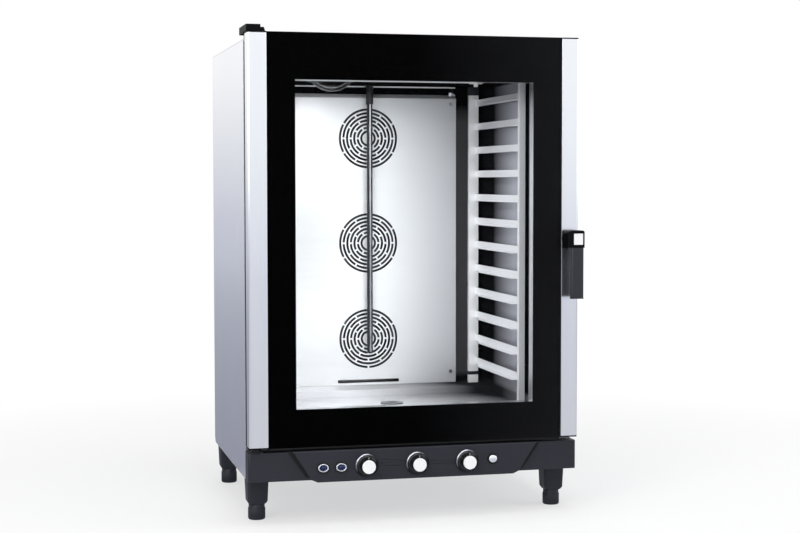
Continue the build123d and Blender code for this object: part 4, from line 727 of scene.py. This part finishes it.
# %% Seals, bezels and domes
LAMP_PLACES = (-243.0, -197.0)
LAMP_HEIGHT = 142.0
FASCIA_FACE = -363.0
DOME_RADIUS = 9.9
DOME_CENTRE = -0.6
dome_section = []
for tilt in (70, 60, 50, 40, 30, 20, 10, 3):
    radius = DOME_RADIUS * math.sin(math.radians(tilt))
    dome_section.append((radius, DOME_CENTRE - DOME_RADIUS * math.cos(math.radians(tilt))))
lamp_shapes = {
    # The black seal ring is partly a seal and partly painted shade round the bezel.
    "pilot_seal_and_shade": ("black_silicone", (1.0, 0.80), [
        (16.0, 0.3), (16.0, -3.6), (15.3, -4.4), (13.4, -4.4), (12.6, -3.8)]),
    "pilot_bezel": ("bright_chrome", (1.0, 0.75), [
        (13.6, -3.6), (13.6, -4.9), (13.1, -5.7), (12.3, -6.1), (11.2, -6.0), (10.2, -5.3),
        (9.5, -4.2), (9.3, -3.2)]),
    "pilot_dome": ("blue_lens", (1.0, 0.68), dome_section),
}
for number, across in enumerate(LAMP_PLACES, 1):
    for name, (finish, squash, section) in lamp_shapes.items():
        work = bmesh.new()
        outline = [(radius, FASCIA_FACE + depth) for radius, depth in section]
        rings = turned_shape(work, outline, (across, LAMP_HEIGHT), 64, squash)
        if name == "pilot_dome":
            work.faces.new(rings[-1])
        new_piece(f"{name}_{number}", work, finish, "cabinet")
print("pilot lamps:", len(LAMP_PLACES))

# %% [markdown]
# # Knob rings and the button
# Round each knob lies a bevelled black chrome ring. Its slope faces outwards, and its colour turns
# bright on the side that faces the light, a painted highlight that shows as a crescent. The push
# button is black, with a polished oval dome on its end.

# %% Ring slopes
RING_SECTION = (
    (29.8, -3.0), (29.0, -4.6), (27.4, -5.8), (25.8, -6.7), (25.1, -6.6), (24.9, -4.0))
for knob in KNOBS:
    outline = [(radius, FASCIA_FACE + depth) for radius, depth in RING_SECTION]
    work = bmesh.new()
    turned_shape(work, outline, (middle_of(knob + "_knob", 0), KNOB_HEIGHT), 72)
    new_piece(knob + "_ring_slope", work, "ring_chrome", "cabinet")
print("ring slopes:", len(KNOBS))

# %% Button dome
BUTTON_SECTION = (
    (10.9, 0.2), (10.7, -0.5), (9.7, -1.3), (7.8, -2.1), (5.2, -2.7), (2.6, -3.0), (0.5, -3.1))
button = [middle_of("push_button", axis) for axis in (0, 2)]
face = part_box("push_button")[0][1] / MM
outline = [(radius, face + depth) for radius, depth in BUTTON_SECTION]
work = bmesh.new()
rings = turned_shape(work, outline, button, 48, (1.0, 0.88))
work.faces.new(rings[-1])
new_piece("push_button_dome", work, "bright_chrome", "push_button")
print("button face at", round(face, 1))

# %% [markdown]
# # Rubber and plastic strips
# A wiper strip under the door closes the gap above the fascia. A thin black strip runs up each
# side of the front frame, where the door profile comes close: painted shade for the gap there. A
# black strip at each slanted end of the fascia is painted shadow, for the shade in the joint. The
# grip of the handle ends in a black plug. All but the fascia's shadow strips are rounded blocks,
# and a piece may be made of several. Each line of a table gives two corners and the edge, in
# millimetres.

# %% Pieces made of rounded blocks
SIDES = ((-1, "left"), (1, "right"))


def block_piece(name, blocks, finish, body):
    """A piece of rounded blocks, each given by two corners and its edge in millimetres."""
    work = bmesh.new()
    for low, high, edge in blocks:
        rounded_block(work, low, high, edge)
    new_piece(name, work, finish, body)


def mirrored_block(side, low, high, edge):
    """A block for one side: -1 turns it over to the left, and 1 leaves it on the right."""
    near, far = sorted((side * low[0], side * high[0]))
    return (near, *low[1:]), (far, *high[1:]), edge


# %% Strips and plug
block_piece("door_wiper_strip", [
    ((-380.2, -356.5, 190.6), (383.2, -330.0, 195.4), 0.8),
    ((-380.2, -351.0, 187.6), (383.2, -346.0, 191.2), 0.8),
], "black_silicone", "door")
for side, name in SIDES:
    # Painted shade: a black strip on the frame where the gap beside the door lies in shade.
    gap_shadow = mirrored_block(side, (422.0, -306.4, 196.0), (428.2, -304.8, 1204.0), 0.4)
    block_piece(name + "_edge_shadow_strip", [gap_shadow], "black_silicone", "cabinet")
block_piece("grip_end_plug", [
    ((393.4, -414.6, 557.6), (426.6, -401.4, 560.4), 0.7),
], "black_plastic", "handle")
print("strips and plug: 4")

# %% Slanted shadow strips
# Painted shadow: a black strip along each slanted end of the fascia, for the shade in the joint.
SHADOW_STRIP_CORNERS = ((321.0, 184.6), (333.0, 184.6), (285.0, 117.2), (273.0, 117.2))
SHADOW_STRIP_DEPTHS = (-351.4, -350.6)
for side, name in SIDES:
    work = bmesh.new()
    shadow_outline = []
    for across, height in SHADOW_STRIP_CORNERS:
        corner = [(side * across * MM, depth * MM, height * MM) for depth in SHADOW_STRIP_DEPTHS]
        shadow_outline.append([work.verts.new(point) for point in corner])
    for first, second in zip(shadow_outline, shadow_outline[1:] + shadow_outline[:1]):
        work.faces.new((first[0], second[0], second[1], first[1]))
    for layer in (0, 1):
        work.faces.new([pair[layer] for pair in shadow_outline])
    new_piece(name + "_fascia_shadow_strip", work, "black_silicone", "cabinet", False)
print("seams:", len(SIDES))

# %% [markdown]
# # Rack fittings
# The rear post of each rack wears a black sleeve at its top and a black band near its foot,
# where it clears the wall when the rack is lifted out. A tab on the baffle's upper right corner
# is the grip for taking the baffle down. A narrow bright strip hangs the baffle's upper edge, and
# a small bracket sits on the ceiling. A bright strip along the top of the window, stopping short
# of its right end, is a painted highlight on the window's top reveal.

# %% Sleeves and bands on the rear posts
post_rings = {"sleeve": (1102.0, 1125.6), "band": (302.0, 312.0)}
for side, name in SIDES:
    for part, (bottom, top) in post_rings.items():
        ring = mirrored_block(side, (281.2, 133.6, bottom), (310.8, 147.4, top), 0.8)
        block_piece(
            f"{name}_post_{part}", [ring], "dark_grey_plastic", "cabinet")
print("sleeves and bands:", len(SIDES) * len(post_rings))

# %% Tab, strips and bracket
block_piece("baffle_tab", [
    ((227.0, 153.6, 1099.0), (246.0, 155.2, 1121.0), 0.5),
    ((227.0, 153.6, 1099.0), (246.0, 160.0, 1100.6), 0.5),
], "polished_steel", "cabinet")
block_piece("baffle_hanger_strip", [
    ((-262.0, 154.6, 1122.6), (246.0, 157.4, 1126.0), 0.5),
], "rack_steel", "cabinet")
# Painted highlight: a bright strip for the line of light along the window's top reveal, stopping
# short where that line fades.
block_piece("window_top_highlight_strip", [
    ((-308.6, -340.4, 1106.6), (164.0, -338.4, 1108.8), 0.5),
], "rack_steel", "door")
block_piece("ceiling_bracket", [
    ((236.0, -48.0, 1124.2), (268.0, -20.0, 1126.6), 0.6),
    ((246.0, -42.0, 1116.0), (256.0, -30.0, 1125.0), 1.6),
], "rack_steel", "cabinet")
print("tab, strips and bracket: 4")

# %% [markdown]
# # The lance's painted highlight
# The lance's sides are painted dark, as the dark room mirrored in a polished tube, and its front
# carries a bright strip that is a painted highlight, the reflection running down the tube. The
# strip is thin and curved; it lies on the tube and follows its radius.

# %% Painted highlight strip
LANCE_PLACE = (-8.0, 139.5)
LANCE_RADIUS = 8.0
STRIP_HALF_ANGLE = 19.0
STRIP_STEPS = 8
STRIP_HEIGHTS = (376.0, 1074.0)
FRONT = -90.0
work = bmesh.new()
columns = []
for step in range(STRIP_STEPS + 1):
    turn = FRONT - STRIP_HALF_ANGLE + 2 * STRIP_HALF_ANGLE * step / STRIP_STEPS
    angle = math.radians(turn)
    proud = 0.35 if 0 < step < STRIP_STEPS else 0.05
    reach = LANCE_RADIUS + proud
    across = LANCE_PLACE[0] + reach * math.cos(angle)
    depth = LANCE_PLACE[1] + reach * math.sin(angle)
    columns.append([work.verts.new((across * MM, depth * MM, z * MM)) for z in STRIP_HEIGHTS])
for first, second in zip(columns, columns[1:]):
    work.faces.new((first[0], second[0], second[1], first[1]))
new_piece("lance_painted_highlight", work, "polished_steel", "cabinet")
strip_width = 2 * LANCE_RADIUS * math.sin(math.radians(STRIP_HALF_ANGLE))
print("strip width in millimetres:", round(strip_width, 1))

# %% [markdown]
# # Ribs on the feet
# The feet are turned by hand to level the oven, so their lower part is ribbed for grip. The
# ribs are half-round beads, set evenly round each foot.

# %% Ribs
RIBS = 30
RIB_SUNK = 0.1
RIB_PROUD = 0.6
RIB_HALF_WIDTH = 0.9
RIB_HEIGHTS = (4.0, 30.0)
for corner in CORNERS:
    low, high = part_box(corner + "_foot")
    centre = [middle_of(corner + "_foot", axis) for axis in (0, 1)]
    radius = (high[0] - low[0]) / 2 / MM
    work = bmesh.new()
    for rib in range(RIBS):
        angle = math.tau * rib / RIBS
        section = []
        for turn in (-90, -45, 0, 45, 90):
            out = radius - RIB_SUNK + RIB_PROUD * math.cos(math.radians(turn))
            aside = RIB_HALF_WIDTH * math.sin(math.radians(turn))
            across = centre[0] + out * math.cos(angle) - aside * math.sin(angle)
            depth = centre[1] + out * math.sin(angle) + aside * math.cos(angle)
            column = [(across * MM, depth * MM, z * MM) for z in RIB_HEIGHTS]
            section.append([work.verts.new(point) for point in column])
        for first, second in zip(section, section[1:]):
            work.faces.new((first[0], second[0], second[1], first[1]))
        work.faces.new([pair[0] for pair in section])
        work.faces.new([pair[1] for pair in section])
    foot = corner + "_foot"
    new_piece(foot + "_ribs", work, "dark_grey_plastic", foot)
print("ribs on each foot:", RIBS)

# %% [markdown]
# # The studio
# The oven stands on a pale floor in a white room. The camera and the clear glass see plain
# white. Polished metal shows the room itself, which is white above and greyer towards the
# floor, most of all behind the oven, so sheet metal gets its soft shading from top to bottom.
# The front and back walls have tints of their own, as a real room has. A photograph of a room
# could light the scene too, but two plain walls are enough here and hold nothing to copy. A
# weaker light from all round fills the shadows. Light Path tells which kind of ray is asking.

# %% World
FRONT_FOOT = (0.62, 0.65, 0.75)
BACK_FOOT = (0.54, 0.56, 0.64)
FILL = 0.55
world = bpy.data.worlds.new("white_room")
bpy.context.scene.world = world
world.use_nodes = True


def ray_kind(graph, *names):
    """1 for light rays of these kinds, and 0 for the rest."""
    total = 0.0
    for name in names:
        total = total + graph.node("ShaderNodeLightPath", output=name)
    return graph.node("ShaderNodeMath", {"operation": "MINIMUM"}, {0: total, 1: 1.0})


graph = Graph(world.node_tree)
seen = ray_kind(graph, "Is Camera Ray", "Is Transmission Ray")
mirrored = ray_kind(graph, "Is Glossy Ray")
direction = graph.node("ShaderNodeTexCoord", output="Generated")
rise = graph.node("ShaderNodeSeparateXYZ", None, {0: direction}, 2)
depth = graph.node("ShaderNodeSeparateXYZ", None, {0: direction}, 1)
front_rise = spread(graph, rise, -0.05, 0.01)
back_rise = spread(graph, rise, -0.03, 0.070)
front_wall = blend_colours(graph, front_rise, FRONT_FOOT, (0.97, 0.99, 1.0))
back_wall = blend_colours(graph, back_rise, BACK_FOOT, WHITE)
wall = blend_colours(graph, spread(graph, depth, -0.2, 0.2), front_wall, back_wall)
background = graph.node("ShaderNodeBackground", None, {
    "Color": blend_colours(graph, mirrored, WHITE, wall),
    "Strength": FILL + (1.0 - FILL) * seen + (1.0 - FILL) * mirrored,
})
graph.node("ShaderNodeOutputWorld", None, {"Surface": background})
print("fill light:", FILL)

# %% [markdown]
# # The floor
# Near the oven the floor is matt paper, which takes a soft shadow. Farther out it turns into a
# plain white glow for the camera, so that it joins the white room without a line. Metal sees
# the floor in the walls' tints instead, and darker close behind the oven, where it stands in
# its own shade. A curved paper roll would do the same, but it would have to be very large.

# %% Floor
FLOOR_SIZE = 60.0
half = FLOOR_SIZE / 2
floor_corners = [(-half, -half, 0), (half, -half, 0), (half, half, 0), (-half, half, 0)]
mesh = bpy.data.meshes.new("studio_floor")
mesh.from_pydata(floor_corners, [], [(0, 1, 2, 3)])
floor = bpy.data.objects.new("studio_floor", mesh)
bpy.context.scene.collection.objects.link(floor)
print("floor size:", FLOOR_SIZE)

# %% Floor paper
graph = finish_graph("floor_paper")
place = graph.node("ShaderNodeTexCoord", output="Object")
distance = graph.node("ShaderNodeVectorMath", {"operation": "LENGTH"}, {0: place}, "Value")
far = spread(graph, distance, 0.7, 2.2)
paper = graph.node("ShaderNodeBsdfDiffuse", None, {
    "Color": blend_colours(graph, noise(graph, 40.0, 3.0), (0.84, 0.84, 0.84), (0.88, 0.88, 0.88)),
})
white = graph.node("ShaderNodeEmission", None, {"Color": opaque(WHITE), "Strength": 1.0})
outwards = spread(graph, distance, 0.8, 14.0)
behind = spread(graph, along(graph, "Y"), -0.2, 0.5)
front_tint = blend_colours(graph, outwards, (0.57, 0.58, 0.62), FRONT_FOOT)
back_tint = blend_colours(graph, outwards, (0.28, 0.29, 0.35), BACK_FOOT)
greyer = graph.node("ShaderNodeEmission", None, {
    "Color": blend_colours(graph, behind, front_tint, back_tint),
    "Strength": 1.0,
})
seen = ray_kind(graph, "Is Camera Ray", "Is Transmission Ray")
mirrored = ray_kind(graph, "Is Glossy Ray")
glow = seen * (0.55 + 0.45 * far)
plain = graph.node("ShaderNodeMixShader", None, {0: glow, 1: paper, 2: white})
set_surface(graph, graph.node("ShaderNodeMixShader", None, {0: mirrored, 1: plain, 2: greyer}))
floor.data.materials.append(finishes["floor_paper"])
print("finishes with the floor's:", len(finishes))

# %% [markdown]
# # The lamps
# A large soft lamp stands in front on the left, and weaker ones above and on the right. The
# front one is two lamps in one place: one lights the surfaces, and a larger one is seen only in
# reflections, so each can be set without the other. Inside the oven glows its own lamp. Two
# fills in the mouth stand for the light that the open room throws in through the glass, and
# they show neither to the camera nor in the polished baffle.

# %% Lamps
def soft_lamp(name, place, aim, width, height, power, colour=WHITE, spread_angle=180.0):
    """A rectangular soft lamp that points at a place and spreads its light this widely."""
    light = bpy.data.lights.new(name, "AREA")
    light.shape = "RECTANGLE"
    light.size = width
    light.size_y = height
    light.energy = power
    light.color = colour
    light.spread = math.radians(spread_angle)
    lamp = bpy.data.objects.new(name, light)
    lamp.location = place
    lamp.rotation_euler = (Vector(aim) - Vector(place)).to_track_quat("-Z", "Y").to_euler()
    bpy.context.scene.collection.objects.link(lamp)
    return lamp


KEY_PLACE = (-2.4, -2.8, 2.6)
KEY_AIM = (0.0, 0.0, 0.7)
soft_lamp("key_lamp", KEY_PLACE, KEY_AIM, 1.8, 1.8, 60.0).visible_glossy = False
soft_lamp("glint_lamp", KEY_PLACE, KEY_AIM, 2.6, 2.6, 125.0).visible_diffuse = False
soft_lamp("top_lamp", (0.0, -0.6, 3.4), (0.0, 0.0, 0.8), 2.4, 2.0, 40.0)
soft_lamp("right_lamp", (3.2, -1.0, 2.0), (0.2, 0.0, 0.7), 1.6, 2.0, 30.0, (0.92, 0.95, 1.0))
inside = {
    "oven_lamp_glow": ((-0.158, -0.065, 1.088), (-0.20, 0.05, 0.30), 0.09, 0.09, 1.6, 180.0),
    "mouth_fill": ((0.02, -0.285, 0.70), (0.04, 0.0, 0.70), 0.50, 0.80, 1.5, 150.0),
    "left_fill": ((-0.16, -0.285, 0.50), (-0.19, 0.16, 0.46), 0.28, 0.56, 1.1, 100.0),
}
for name, (place, aim, width, height, power, angle) in inside.items():
    lamp = soft_lamp(name, place, aim, width, height, power, spread_angle=angle)
    lamp.visible_camera = False
    lamp.visible_glossy = False
print("lamps:", len(bpy.data.lights))

# %% [markdown]
# # The camera
# It stands in front of the oven, a little to the left, and looks slightly down. A long lens
# keeps the upright edges nearly parallel. Place, turn and lens were fitted to the oven's
# straight edges, so the roll is not quite nothing.

# %% Camera
SENSOR_WIDTH = 36.0
LENS = 71.65
PLACE = (-1.0035, -4.245, 0.8584)
TURN = 13.88
PITCH = 3.07
ROLL = 0.0009
camera_data = bpy.data.cameras.new("camera")
camera_data.sensor_width = SENSOR_WIDTH
camera_data.lens = LENS
camera = bpy.data.objects.new("camera", camera_data)
camera.location = PLACE
camera.rotation_euler = (math.radians(90.0 - PITCH), ROLL, math.radians(-TURN))
bpy.context.scene.collection.objects.link(camera)
bpy.context.scene.camera = camera
bpy.context.scene.view_settings.view_transform = "Standard"
print("camera at", PLACE)
